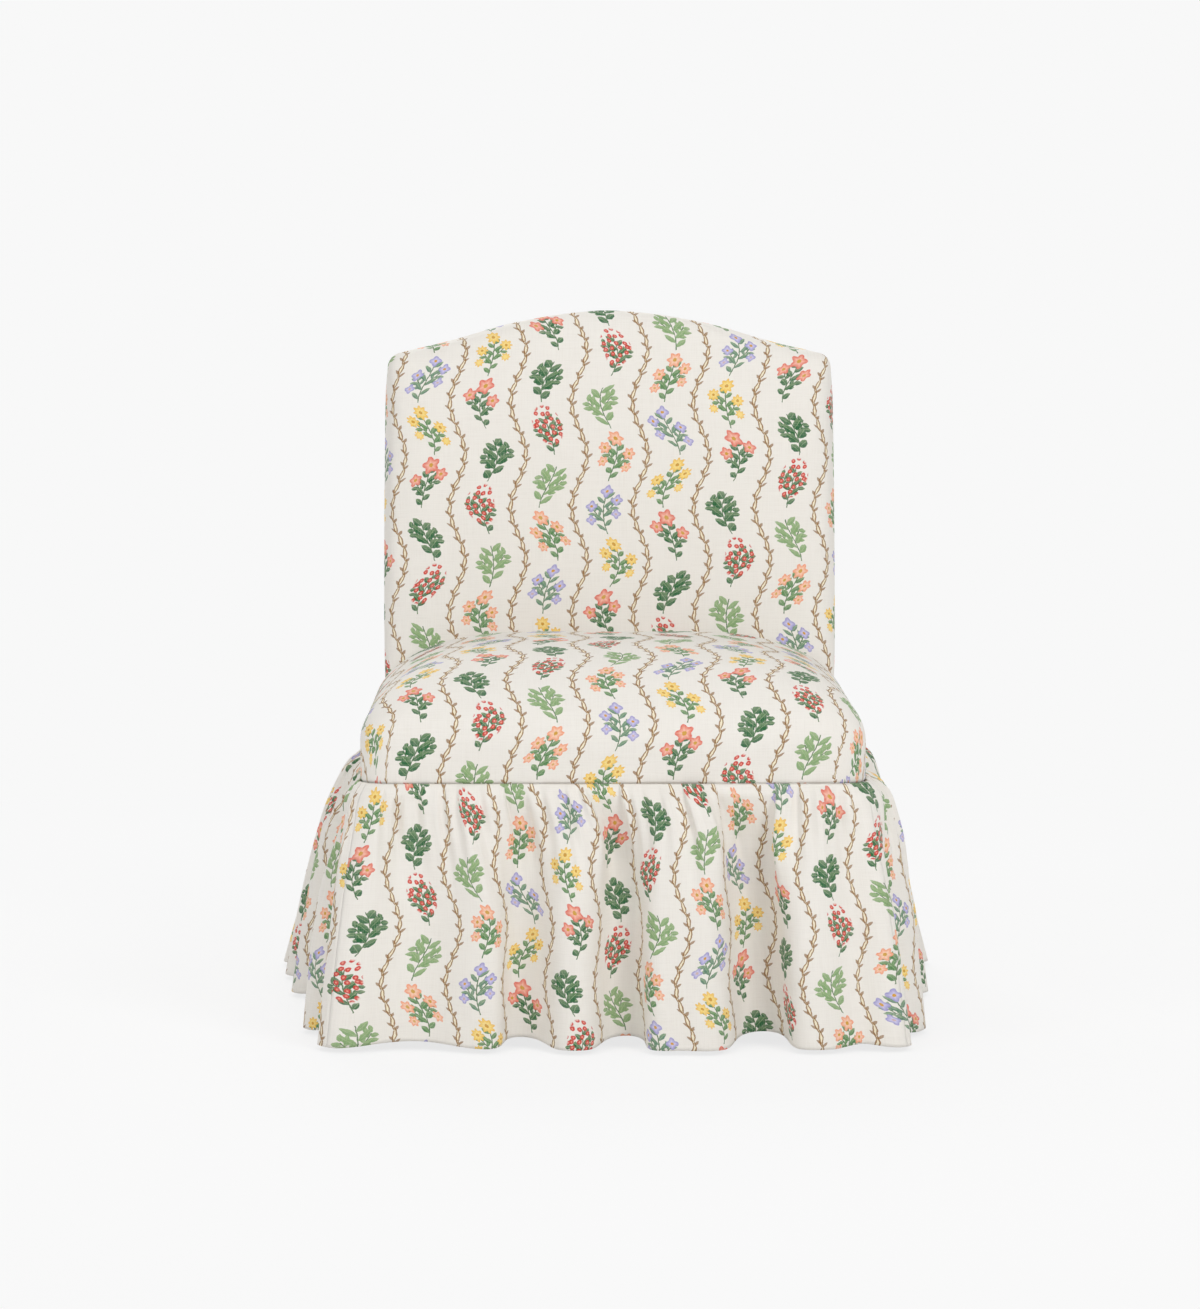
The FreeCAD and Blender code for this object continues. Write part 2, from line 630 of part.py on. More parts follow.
def sinuous_spring(x):
    """One no-sag spring: bars across, joined by half loops, in one unbroken wire."""
    front, rear = spring_ends()
    bars = round((rear - front) / SPRING_PITCH)
    pitch = (rear - front) / bars
    turn = pitch / 2
    edges = []
    for i in range(bars + 1):
        side = 1 if i % 2 == 0 else -1
        y = front + i * pitch
        start = Vector(x - side * SPRING_BAR / 2, y, SPRING_Z)
        end = Vector(x + side * SPRING_BAR / 2, y, SPRING_Z)
        edges.append(line(start, end))
        if i < bars:
            centre = Vector(end.x, y + turn, SPRING_Z)
            outer = centre + Vector(side * turn, 0, 0)
            slant = turn * sqrt(0.5)
            edges.append(arc(end, centre + Vector(side * slant, -slant, 0), outer))
            edges.append(
                arc(outer, centre + Vector(side * slant, slant, 0), centre + Vector(0, turn, 0))
            )
    path = Part.Wire(edges)
    start = edges[0].Vertexes[0].Point
    ring = Part.Wire(Part.makeCircle(SPRING_WIRE_RADIUS, start, Vector(1, 0, 0)))
    return path.makePipeShell([ring], True, False)


def make_springing():
    """Springs, their clips, the tie wires across them and the deck cloth over them."""
    front, rear = spring_ends()
    centres = [(i - (SPRING_COUNT - 1) / 2) * SPRING_SPACING for i in range(SPRING_COUNT)]
    for number, x in enumerate(centres, 1):
        save(f"seat_spring_{number}", sinuous_spring(x))
    clips = []
    for x in centres:
        for y in (front, rear):
            body = box(
                (x - CLIP_LENGTH / 2, x + CLIP_LENGTH / 2),
                (y - CLIP_WIDTH / 2, y + CLIP_WIDTH / 2),
                (RAIL_TOP, RAIL_TOP + CLIP_HEIGHT),
            )
            way = rod(
                Vector(x - CLIP_LENGTH, y, SPRING_Z),
                Vector(x + CLIP_LENGTH, y, SPRING_Z),
                SPRING_WIRE_RADIUS + FIT,
            )
            clips.append(body.cut(way))
    save("spring_clips", *clips)
    reach = RAIL_INNER + TIE_WIRE_OVERLAP
    wires = []
    saddles = []
    for i in range(TIE_WIRE_COUNT):
        y = front + (rear - front) * (i + 1) / (TIE_WIRE_COUNT + 1)
        ends = Vector(-reach, y, TIE_WIRE_Z), Vector(reach, y, TIE_WIRE_Z)
        wires.append(rod(*ends, TIE_WIRE_RADIUS))
        way = rod(*ends, TIE_WIRE_RADIUS + FIT)
        for s in SIDES:
            across = sorted((s * (RAIL_INNER + FIT), s * (reach - FIT)))
            span = (y - SADDLE_WIDTH / 2, y + SADDLE_WIDTH / 2)
            saddles.append(box(across, span, (RAIL_TOP, TIE_WIRE_Z)).cut(way))
    save("spring_tie_wires", *wires)
    save("tie_wire_saddles", *saddles)
    levels = (DECK_BOTTOM, DECK_BOTTOM + DECK_CLOTH_THICKNESS)
    deck = box((-reach, reach), (front, back_y(FRAME_REAR, RAIL_TOP) - DUST_COVER_MARGIN), levels)
    beside_posts = back_y(FRAME_FRONT + LAYER_GAP, RAIL_TOP)
    for s in SIDES:
        notch = sorted((s * (POST_INNER - LAYER_GAP), s * FAR))
        deck = deck.cut(box(notch, (beside_posts, FAR), (0, FAR)))
    save("seat_deck_cloth", deck)


# Upholstery


def seat_well(grow, top):
    """The space inside the seat's padding that the rails and springs fill."""
    half = RAIL_OUTER + grow
    return box((-half, half), (FRONT_RAIL_FACE - grow, FAR), (0, top))


def make_seat_upholstery():
    """Foam, batting and cover of the seat."""
    well = seat_well(LAYER_GAP, FOAM_BOTTOM)
    foot = COVER_BOTTOM + COVER_WALL + LAYER_GAP
    save("seat_foam", seat_form(FOAM_INSET, foot).cut(well))
    outer = seat_form(COVER_WALL + LAYER_GAP, foot)
    inner = seat_form(COVER_WALL + LAYER_GAP + BATTING_WALL, COVER_BOTTOM)
    save("seat_batting", outer.cut(inner).cut(well))
    lining = seat_form(COVER_WALL, COVER_BOTTOM + COVER_WALL)
    save("seat_cover", seat_form(0.0, COVER_BOTTOM).cut(lining).cut(well))


def make_back_upholstery():
    """Foam, batting and covers of the back."""
    well = seat_well(LAYER_GAP, FOAM_BOTTOM)
    foam = back_form(FOAM_INSET, FRAME_REAR, COVER_BOTTOM + COVER_WALL + LAYER_GAP)
    save("back_foam", foam.cut(frame_room()).cut(well))
    outer = back_form(COVER_WALL + LAYER_GAP, FRAME_REAR, COVER_BOTTOM)
    inner = back_form(COVER_WALL + LAYER_GAP + BATTING_WALL, FRAME_REAR - 1, COVER_BOTTOM - 1)
    save("back_batting", outer.cut(inner).cut(well))
    cover = back_form(0.0, REAR_PANEL_FRONT, COVER_BOTTOM)
    lining = back_form(COVER_WALL, REAR_PANEL_FRONT - 1, COVER_BOTTOM - 1)
    save("inside_back_cover", cover.cut(lining).cut(well))
    save("outside_back_panel", back_sheet(COVER_WALL / 2, BACK_REAR, COVER_WALL))
    pad_rear = REAR_PANEL_FRONT + LAYER_GAP
    save("outside_back_batting", back_sheet(TOP_RAIL_PADDING / 3, pad_rear, REAR_BATTING_WALL))


def frame_room():
    """The room that the frame of the back, its webbing and its burlap take inside the foam."""
    outline = back_section(TOP_RAIL_PADDING - LAYER_GAP, FRAME_REAR - 1, -FAR / 2)
    room = Part.Face(outline).extrude(Vector(0, 0, BURLAP_FRONT + LAYER_GAP - FRAME_REAR + 1))
    half = RAIL_INNER + LAYER_GAP
    room = room.common(box((-half, half), (-FAR, FAR), (-FAR, FAR)))
    room.Placement = BACK_PLACE
    return room


def back_sheet(inset, rear, wall):
    """A layer with the back's outline, from the plane w = rear forward and down to the cover's edge."""
    foot = (COVER_BOTTOM - DEPTH_GAUGE_HEIGHT) / cos(RAKE) - FRAME_DEPTH
    sheet = Part.Face(back_section(inset, rear, foot)).extrude(Vector(0, 0, wall))
    sheet.Placement = BACK_PLACE
    return sheet.common(box((-FAR, FAR), (-FAR, FAR), (COVER_BOTTOM, FAR)))


def make_back_webbing():
    """Burlap, webbing and tack strips on the frame of the back."""
    top = TOP_RAIL_UNDERSIDE + TACK_STRIP_WIDTH * 2
    foot = CROSS_RAIL_FOOT
    reach = RAIL_INNER - DUST_COVER_MARGIN
    save("back_burlap", back_box((-reach, reach), (foot, top), (WEB_FRONT, BURLAP_FRONT)))
    half = WEBBING_WIDTH / 2
    first = foot + CROSS_RAIL_HEIGHT
    middle = FRAME_FRONT + WEBBING_THICKNESS
    for i in range(CROSS_WEBS):
        v = first + (top - first) * (i + 1) / (CROSS_WEBS + 1)
        strap = back_box((-reach, reach), (v - half, v + half), (FRAME_FRONT, middle))
        save(f"back_cross_webbing_{i + 1}", strap)
    for i in range(UPRIGHT_WEBS):
        u = (i - (UPRIGHT_WEBS - 1) / 2) * 2 * POST_INNER / (UPRIGHT_WEBS + 1)
        strap = back_box((u - half, u + half), (foot, top), (middle, WEB_FRONT))
        save(f"back_upright_webbing_{i + 1}", strap)
    save("back_tack_strips", *back_tack_strips())


def back_tack_strips():
    """Card strips on the rear of the posts and along the top rail's arch."""
    rear = FRAME_REAR - TACK_STRIP_THICKNESS
    strips = [
        back_box(
            sorted((s * (RAIL_INNER - TACK_STRIP_WIDTH), s * RAIL_INNER)),
            (CROSS_RAIL_FOOT, TOP_RAIL_UNDERSIDE),
            (rear, FRAME_REAR),
        )
        for s in SIDES
    ]
    outer = Part.Face(back_section(TOP_RAIL_PADDING, rear, 0.0))
    inner = Part.Face(back_section(TOP_RAIL_PADDING + TACK_STRIP_WIDTH, rear, -FAR))
    arch = outer.cut(inner).extrude(Vector(0, 0, TACK_STRIP_THICKNESS))
    arch = arch.common(box((-RAIL_INNER, RAIL_INNER), (TOP_RAIL_UNDERSIDE + FIT, FAR), (-FAR, FAR)))
    arch.Placement = BACK_PLACE
    return strips + arch.Solids


# Skirt


def unit(vector):
    """A vector of length one."""
    return vector * (1 / vector.Length)


def turned(direction, angle):
    """A direction turned to the left by an angle in radians."""
    return Vector(
        direction.x * cos(angle) - direction.y * sin(angle),
        direction.x * sin(angle) + direction.y * cos(angle),
        0,
    )


def skirt_corners(station):
    """Corners of the skirt's centre line at a station: front right, front left, rear left, rear right."""
    drop, _, flare = station
    z = SEAM_HEIGHT + drop * (HEM_HEIGHT - SEAM_HEIGHT)
    stand_off = SKIRT_STAND_OFF + SKIRT_WALL / 2 + fold_depth(SKIRT_STATIONS[0][1])
    front = SEAT_FRONT - stand_off - flare * FLARE_FRONT
    rear = back_y(BACK_REAR, SEAM_HEIGHT) + stand_off + flare * FLARE_REAR
    near = SEAT_WIDTH / 2 + stand_off + flare * FLARE_FRONT_CORNER
    far = SEAT_WIDTH / 2 + stand_off + flare * FLARE_REAR_CORNER
    return [Vector(-near, front, z), Vector(near, front, z), Vector(far, rear, z), Vector(-far, rear, z)]


def fold_depth(sweep):
    """How far an average fold stands off the centre line, when its tangents turn by sweep degrees."""
    width = (SEAT_WIDTH - 2 * SKIRT_CORNER) / len(FRONT_FOLDS)
    return width / 2 * tan(radians(sweep) / 2)


def skirt_side(corners, index, folds, sweep):
    """Arcs of one side's centre line, from the middle of one corner to the middle of the next.

    Each arc is a start, the way it heads there, its centre, its radius and the angle it turns by.
    """
    a, b, c, d = (corners[(index + k) % 4] for k in (-1, 0, 1, 2))
    before, along, after = unit(b - a), unit(c - b), unit(d - c)
    arcs = []

    def add_arc(start, heading, radius, turn):
        side = 1 if turn > 0 else -1
        to_centre = turned(heading, side * pi / 2)
        centre = start + to_centre * radius
        arcs.append((start, heading, centre, radius, turn))
        spoke = turned(start - centre, turn)
        return centre + spoke

    def half_corner(first, second):
        bend = turn_between(first, second)
        return bend, SKIRT_CORNER * cos(bend / 2) / sin(sweep + bend / 2)

    bend, radius = half_corner(before, along)
    first_fold = b + along * SKIRT_CORNER
    heading = turned(along, sweep)
    centre = first_fold + turned(heading, pi / 2) * radius
    apex = centre + turned(first_fold - centre, -(sweep + bend / 2))
    add_arc(apex, turned(heading, -(sweep + bend / 2)), radius, sweep + bend / 2)

    run = (c - b).Length - 2 * SKIRT_CORNER
    point = first_fold
    for i, share in enumerate(folds):
        width = run * share / sum(folds)
        side = -1 if i % 2 == 0 else 1
        radius = width / 2 / sin(sweep)
        add_arc(point, turned(along, -side * sweep), radius, side * 2 * sweep)
        point = point + along * width

    bend, radius = half_corner(along, after)
    add_arc(point, turned(along, -sweep), radius, sweep + bend / 2)
    return arcs


def turn_between(first, second):
    """The left turn from one direction to the next, in radians."""
    return Vector(first.x, first.y, 0).getAngle(Vector(second.x, second.y, 0))


def skirt_section(arcs):
    """The closed outline of a strip of cloth along the arcs."""
    half = SKIRT_WALL / 2

    def offset(step, out):
        start, heading, centre, radius, turn = step
        points = []
        for share in (0, 0.5, 1):
            spoke = turned(start - centre, turn * share)
            away = unit(spoke) if turn > 0 else unit(spoke) * -1
            points.append(centre + spoke + away * out)
        return points

    outer = [offset(step, half) for step in arcs]
    inner = [offset(step, -half) for step in arcs]
    edges = [arc(*points) for points in outer]
    edges.append(line(outer[-1][2], inner[-1][2]))
    edges += [arc(*reversed(points)) for points in reversed(inner)]
    edges.append(line(inner[0][0], outer[0][0]))
    return Part.Wire(edges)


def make_skirt():
    """The gathered skirt, in four widths that meet at the corners."""
    sides = (("front", 0, FRONT_FOLDS), ("left", 1, SIDE_FOLDS), ("rear", 2, REAR_FOLDS))
    sides += (("right", 3, tuple(reversed(SIDE_FOLDS))),)
    for name, index, folds in sides:
        sections = []
        for station in SKIRT_STATIONS:
            arcs = skirt_side(skirt_corners(station), index, folds, radians(station[1]))
            sections.append(skirt_section(arcs))
        save(f"skirt_{name}", Part.makeLoft(sections, True, True))


def make_skirt_strips():
    """Card strips behind the skirt's seam, on the seat and on the back."""
    gap = LAYER_GAP
    thick = TACK_STRIP_THICKNESS
    foot = SEAM_HEIGHT - TACK_STRIP_WIDTH
    levels = (foot, SEAM_HEIGHT)
    half = SEAT_WIDTH / 2
    straight = half - SEAT_CORNER_RADIUS
    strips = [box((-straight, straight), (SEAT_FRONT - gap - thick, SEAT_FRONT - gap), levels)]
    seat_span = (SEAT_FRONT + SEAT_CORNER_RADIUS, back_y(BACK_CROWN, foot) - SEAT_REAR_RADIUS)
    back_half = BACK_WIDTH / 2
    back_span = (back_y(-BACK_EDGE_RADIUS, SEAM_HEIGHT), back_y(REAR_PANEL_FRONT, foot) - gap)
    for s in SIDES:
        beside_seat = sorted((s * (half + gap), s * (half + gap + thick)))
        strips.append(box(beside_seat, seat_span, levels))
        beside_back = sorted((s * (back_half + gap), s * (back_half + gap + thick)))
        strips.append(box(beside_back, back_span, levels))
    behind = frame_slab(BACK_REAR - gap, BACK_REAR - gap - thick)
    width = back_half - SKIRT_CORNER
    strips.append(behind.common(box((-width, width), (-FAR, FAR), levels)))
    save("skirt_tack_strips", *strips)


def make_dust_cover():
    """The cloth under the seat and the staples that hold it to the rails."""
    front = FRONT_RAIL_FACE + DUST_COVER_MARGIN
    rear = back_y(FRAME_REAR, RAIL_BOTTOM) - DUST_COVER_MARGIN
    half = RAIL_OUTER - DUST_COVER_MARGIN
    sheet = box((-half, half), (front, rear), (LEG_TOP, RAIL_BOTTOM))
    holes = [
        rod(Vector(x, y, LEG_TOP - 1), Vector(x, y, RAIL_BOTTOM + 1), BOLT_RADIUS + FIT)
        for _, x, y, _ in leg_centres()
    ]
    save("dust_cover", sheet.cut(Part.makeCompound(holes)))
    staples = []
    clear = LEG_INSET + LEG_TOP_SIZE

    def crowns(low, high):
        count = int((high - low) / STAPLE_SPACING) + 1
        return [low + (high - low) * i / (count - 1) for i in range(count)]

    low_z = (LEG_TOP - STAPLE_WIRE, LEG_TOP)
    edge = RAIL_THICKNESS / 2
    long, short = STAPLE_CROWN / 2, STAPLE_WIRE / 2
    for x in crowns(-half + clear, half - clear):
        for y in (front + edge / 2, rear - edge / 2):
            staples.append(box((x - long, x + long), (y - short, y + short), low_z))
    rear_leg = leg_centres()[1][2]
    for y in crowns(FRONT_RAIL_FACE + clear, rear_leg - LEG_TOP_SIZE):
        for x in (-half + edge / 2, half - edge / 2):
            staples.append(box((x - short, x + short), (y - long, y + long), low_z))
    save("dust_cover_staples", *staples)


def main():
    """Builds every piece and writes it to its own file."""
    os.makedirs("parts", exist_ok=True)
    make_frame()
    make_legs()
    make_springing()
    make_seat_upholstery()
    make_back_upholstery()
    make_back_webbing()
    make_skirt()
    make_skirt_strips()
    make_dust_cover()


main()
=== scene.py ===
"""A slipper chair with a tight seat, an arched tight back and a long gathered skirt."""

import logging
import math
from collections.abc import Callable
from dataclasses import dataclass, field
from enum import Enum
from functools import cache

import bmesh
import bpy
import numpy as np
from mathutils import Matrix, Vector


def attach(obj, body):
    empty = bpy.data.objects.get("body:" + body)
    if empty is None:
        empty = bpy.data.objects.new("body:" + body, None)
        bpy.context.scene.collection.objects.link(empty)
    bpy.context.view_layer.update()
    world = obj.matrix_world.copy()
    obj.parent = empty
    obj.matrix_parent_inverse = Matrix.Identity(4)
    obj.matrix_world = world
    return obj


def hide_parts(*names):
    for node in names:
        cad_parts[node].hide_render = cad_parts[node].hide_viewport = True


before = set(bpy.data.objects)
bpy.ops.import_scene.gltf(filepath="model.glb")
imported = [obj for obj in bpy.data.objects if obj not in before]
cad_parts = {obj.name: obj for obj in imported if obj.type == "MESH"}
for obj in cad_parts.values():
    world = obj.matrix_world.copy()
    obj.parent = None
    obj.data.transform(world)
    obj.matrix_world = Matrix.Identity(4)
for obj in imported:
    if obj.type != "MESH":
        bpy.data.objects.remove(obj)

LOG = logging.getLogger("slipper_chair")
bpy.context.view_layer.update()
CLOTH_UV = "cloth"
BODY = "root"
MM = 0.001

# Sizes that the seat, the back and the skirt share

RAKE = math.radians(11)
HINGE_Y, HINGE_Z = 186 * MM, 450 * MM
SEAT_HALF_WIDTH, SEAT_FRONT = 307 * MM, -296 * MM
SEAM_HEIGHT = 316 * MM
WELL_HALF_WIDTH, WELL_FRONT, WELL_TOP = 284.5 * MM, 100 * MM, 357.5 * MM

Pair = tuple[float, float]
Triple = tuple[float, float, float]
Colour = Triple


# Shader expressions


@dataclass(frozen=True)
class Wire:
    """A socket of a material's node tree that can be used in sums."""

    shader: "Shader"
    socket: bpy.types.NodeSocket

    def math(self, operation: str, *others: "Wire | float") -> "Wire":
        """What a Math node gives that takes this value first."""
        sockets = dict(enumerate((self, *others)))
        return self.shader.add("ShaderNodeMath", {"operation": operation}, sockets)

    def flipped(self, operation: str, other: float) -> "Wire":
        """What a Math node gives that takes a number first and this value second."""
        return self.shader.add("ShaderNodeMath", {"operation": operation}, {0: other, 1: self})

    def __add__(self, other: "Wire | float") -> "Wire":
        """The sum of two values."""
        return self.math("ADD", other)

    def __radd__(self, other: float) -> "Wire":
        """A number plus this value."""
        return self.math("ADD", other)

    def __sub__(self, other: "Wire | float") -> "Wire":
        """The difference of two values."""
        return self.math("SUBTRACT", other)

    def __rsub__(self, other: float) -> "Wire":
        """A number less this value."""
        return self.flipped("SUBTRACT", other)

    def __mul__(self, other: "Wire | float") -> "Wire":
        """The product of two values."""
        return self.math("MULTIPLY", other)

    def __rmul__(self, other: float) -> "Wire":
        """A number times this value."""
        return self.math("MULTIPLY", other)

    def __truediv__(self, other: "Wire | float") -> "Wire":
        """This value over another."""
        return self.math("DIVIDE", other)

    def __rtruediv__(self, other: float) -> "Wire":
        """A number over this value."""
        return self.flipped("DIVIDE", other)

    def __mod__(self, other: "Wire | float") -> "Wire":
        """This value wrapped into the range from 0 to the other."""
        return self.math("FLOORED_MODULO", other)

    def __abs__(self) -> "Wire":
        """The size of this value."""
        return self.math("ABSOLUTE")

    def step(self, low: float, high: float) -> "Wire":
        """A smooth step from 0 at low to 1 at high."""
        settings = {"interpolation_type": "SMOOTHSTEP"}
        return self.shader.add("ShaderNodeMapRange", settings, {0: self, 1: low, 2: high})


def srgb(red: int, green: int, blue: int) -> Colour:
    """Turns a screen colour, in parts from 0 to 255, into the linear one that a shader takes."""
    parts = (c / 255 for c in (red, green, blue))
    return tuple(c / 12.92 if c <= 0.04045 else ((c + 0.055) / 1.055) ** 2.4 for c in parts)


class Shader:
    """The node tree of a material or of the world."""

    def __init__(self, owner: bpy.types.Material | bpy.types.World) -> None:
        """Empties the owner's node tree.

        Args:
            owner: The material or the world.
        """
        owner.use_nodes = True
        self.owner = owner
        self.tree = owner.node_tree
        self.tree.nodes.clear()

    @classmethod
    def named(cls, name: str) -> "Shader":
        """Starts a material of that name."""
        return cls(bpy.data.materials.new(name))

    def add(
        self,
        kind: str,
        settings: dict[str, object] | None = None,
        sockets: dict[int | str, object] | None = None,
        output: int | str = 0,
    ) -> Wire:
        """Adds one node, as node does, and gives one of its outputs."""
        return Wire(self, self.node(kind, settings, sockets).outputs[output])

    def node(
        self,
        kind: str,
        settings: dict[str, object] | None = None,
        sockets: dict[int | str, object] | None = None,
    ) -> bpy.types.Node:
        """Adds one node and gives the node itself.

        Args:
            kind: The node's type.
            settings: Its settings.
            sockets: Values or wires for its inputs.

        Returns:
            The node.
        """
        node = self.tree.nodes.new(kind)
        for name, value in (settings or {}).items():
            setattr(node, name, value)
        for key, value in (sockets or {}).items():
            if isinstance(value, Wire):
                self.tree.links.new(value.socket, node.inputs[key])
            else:
                node.inputs[key].default_value = value
        return node

    def mix(self, share: Wire | float, first: Wire | Colour, second: Wire | Colour) -> Wire:
        """Mixes two colours.

        Args:
            share: How much of the second shows.
            first: The colour below.
            second: The colour on top.

        Returns:
            The mixed colour.
        """
        pair = [c if isinstance(c, Wire) else (*c, 1.0) for c in (first, second)]
        sockets = {0: share, 6: pair[0], 7: pair[1]}
        return self.add("ShaderNodeMix", {"data_type": "RGBA"}, sockets, 2)

    def parts(self, vector: Wire) -> tuple[Wire, Wire, Wire]:
        """The three numbers of a vector."""
        node = self.node("ShaderNodeSeparateXYZ", None, {0: vector})
        return tuple(Wire(self, output) for output in node.outputs)

    def object_coordinates(self) -> Wire:
        """The place on the piece in metres."""
        return self.add("ShaderNodeTexCoord", None, None, "Object")

    def cloth_coordinates(self) -> Wire:
        """The place on the flat cloth in metres."""
        return self.add("ShaderNodeUVMap", {"uv_map": CLOTH_UV}, None, "UV")

    def noise(self, vector: Wire, scale: float, detail: float = 2.0) -> Wire:
        """A noise around a half, of that fineness and number of layers."""
        sockets = {"Vector": vector, "Scale": scale, "Detail": detail}
        return self.add("ShaderNodeTexNoise", None, sockets)

    def stretched(self, vector: Wire, scale: Triple) -> Wire:
        """A vector scaled along its axes."""
        return self.add("ShaderNodeMapping", None, {"Vector": vector, "Scale": scale})

    def bump(self, height: Wire, depth: float, strength: float = 1.0) -> Wire:
        """The normal of a height from 0 to 1, with the depth of 1 in metres."""
        sockets = {"Strength": strength, "Distance": depth, "Height": height}
        return self.add("ShaderNodeBump", None, sockets)

    def close(self, surface: dict[str, object]) -> bpy.types.Material:
        """Adds the surface shader and ends the material.

        Args:
            surface: Values or wires for the surface shader.

        Returns:
            The finished material.
        """
        shaded = self.add("ShaderNodeBsdfPrincipled", None, surface)
        self.node("ShaderNodeOutputMaterial", None, {0: shaded})
        return self.owner


# Finishes


@dataclass(frozen=True)
class Sprig:
    """One sprig of the print, with its lengths in millimetres."""

    stem_leaf: Pair
    branch_leaf: Pair
    blooms: Triple
    petals: int
    greenery: Colour
    petal: Colour
    heart: Colour


DEEP_GREEN, LEAF_GREEN = srgb(40, 102, 60), srgb(84, 134, 80)
SAGE, GREY_GREEN = srgb(132, 166, 112), srgb(92, 134, 110)
CORAL, BLUSH = srgb(224, 92, 78), srgb(250, 196, 174)
SPRIGS = (
    Sprig((12.5, 3.0), (9.0, 2.4), (10.5, 8.0, 0.0), 5, DEEP_GREEN, CORAL, BLUSH),
    Sprig((19.0, 3.2), (13.0, 2.7), (0.0, 0.0, 0.0), 5, SAGE, SAGE, SAGE),
    Sprig((11.5, 2.5), (8.5, 2.1), (8.8, 7.4, 5.6), 8, LEAF_GREEN, srgb(240, 188, 66), srgb(252, 228, 150)),
    Sprig((13.0, 2.8), (9.5, 2.2), (0.0, 0.0, 0.0), 5, DEEP_GREEN, srgb(208, 66, 60), srgb(246, 170, 150)),
    Sprig((15.0, 2.3), (10.0, 1.9), (7.6, 7.0, 6.0), 4, GREY_GREEN, srgb(150, 146, 202), srgb(214, 208, 238)),
    Sprig((16.0, 4.4), (12.0, 3.6), (0.0, 0.0, 0.0), 5, DEEP_GREEN, DEEP_GREEN, DEEP_GREEN),
    Sprig((13.0, 3.0), (9.5, 2.3), (9.4, 7.6, 6.2), 6, LEAF_GREEN, srgb(240, 146, 106), srgb(252, 216, 190)),
)


@dataclass(frozen=True)
class Row:
    """A row of leaves along a stem: where it runs, and how its leaves stand."""

    start: float
    end: float
    pitch: float
    slant: float = math.radians(50)


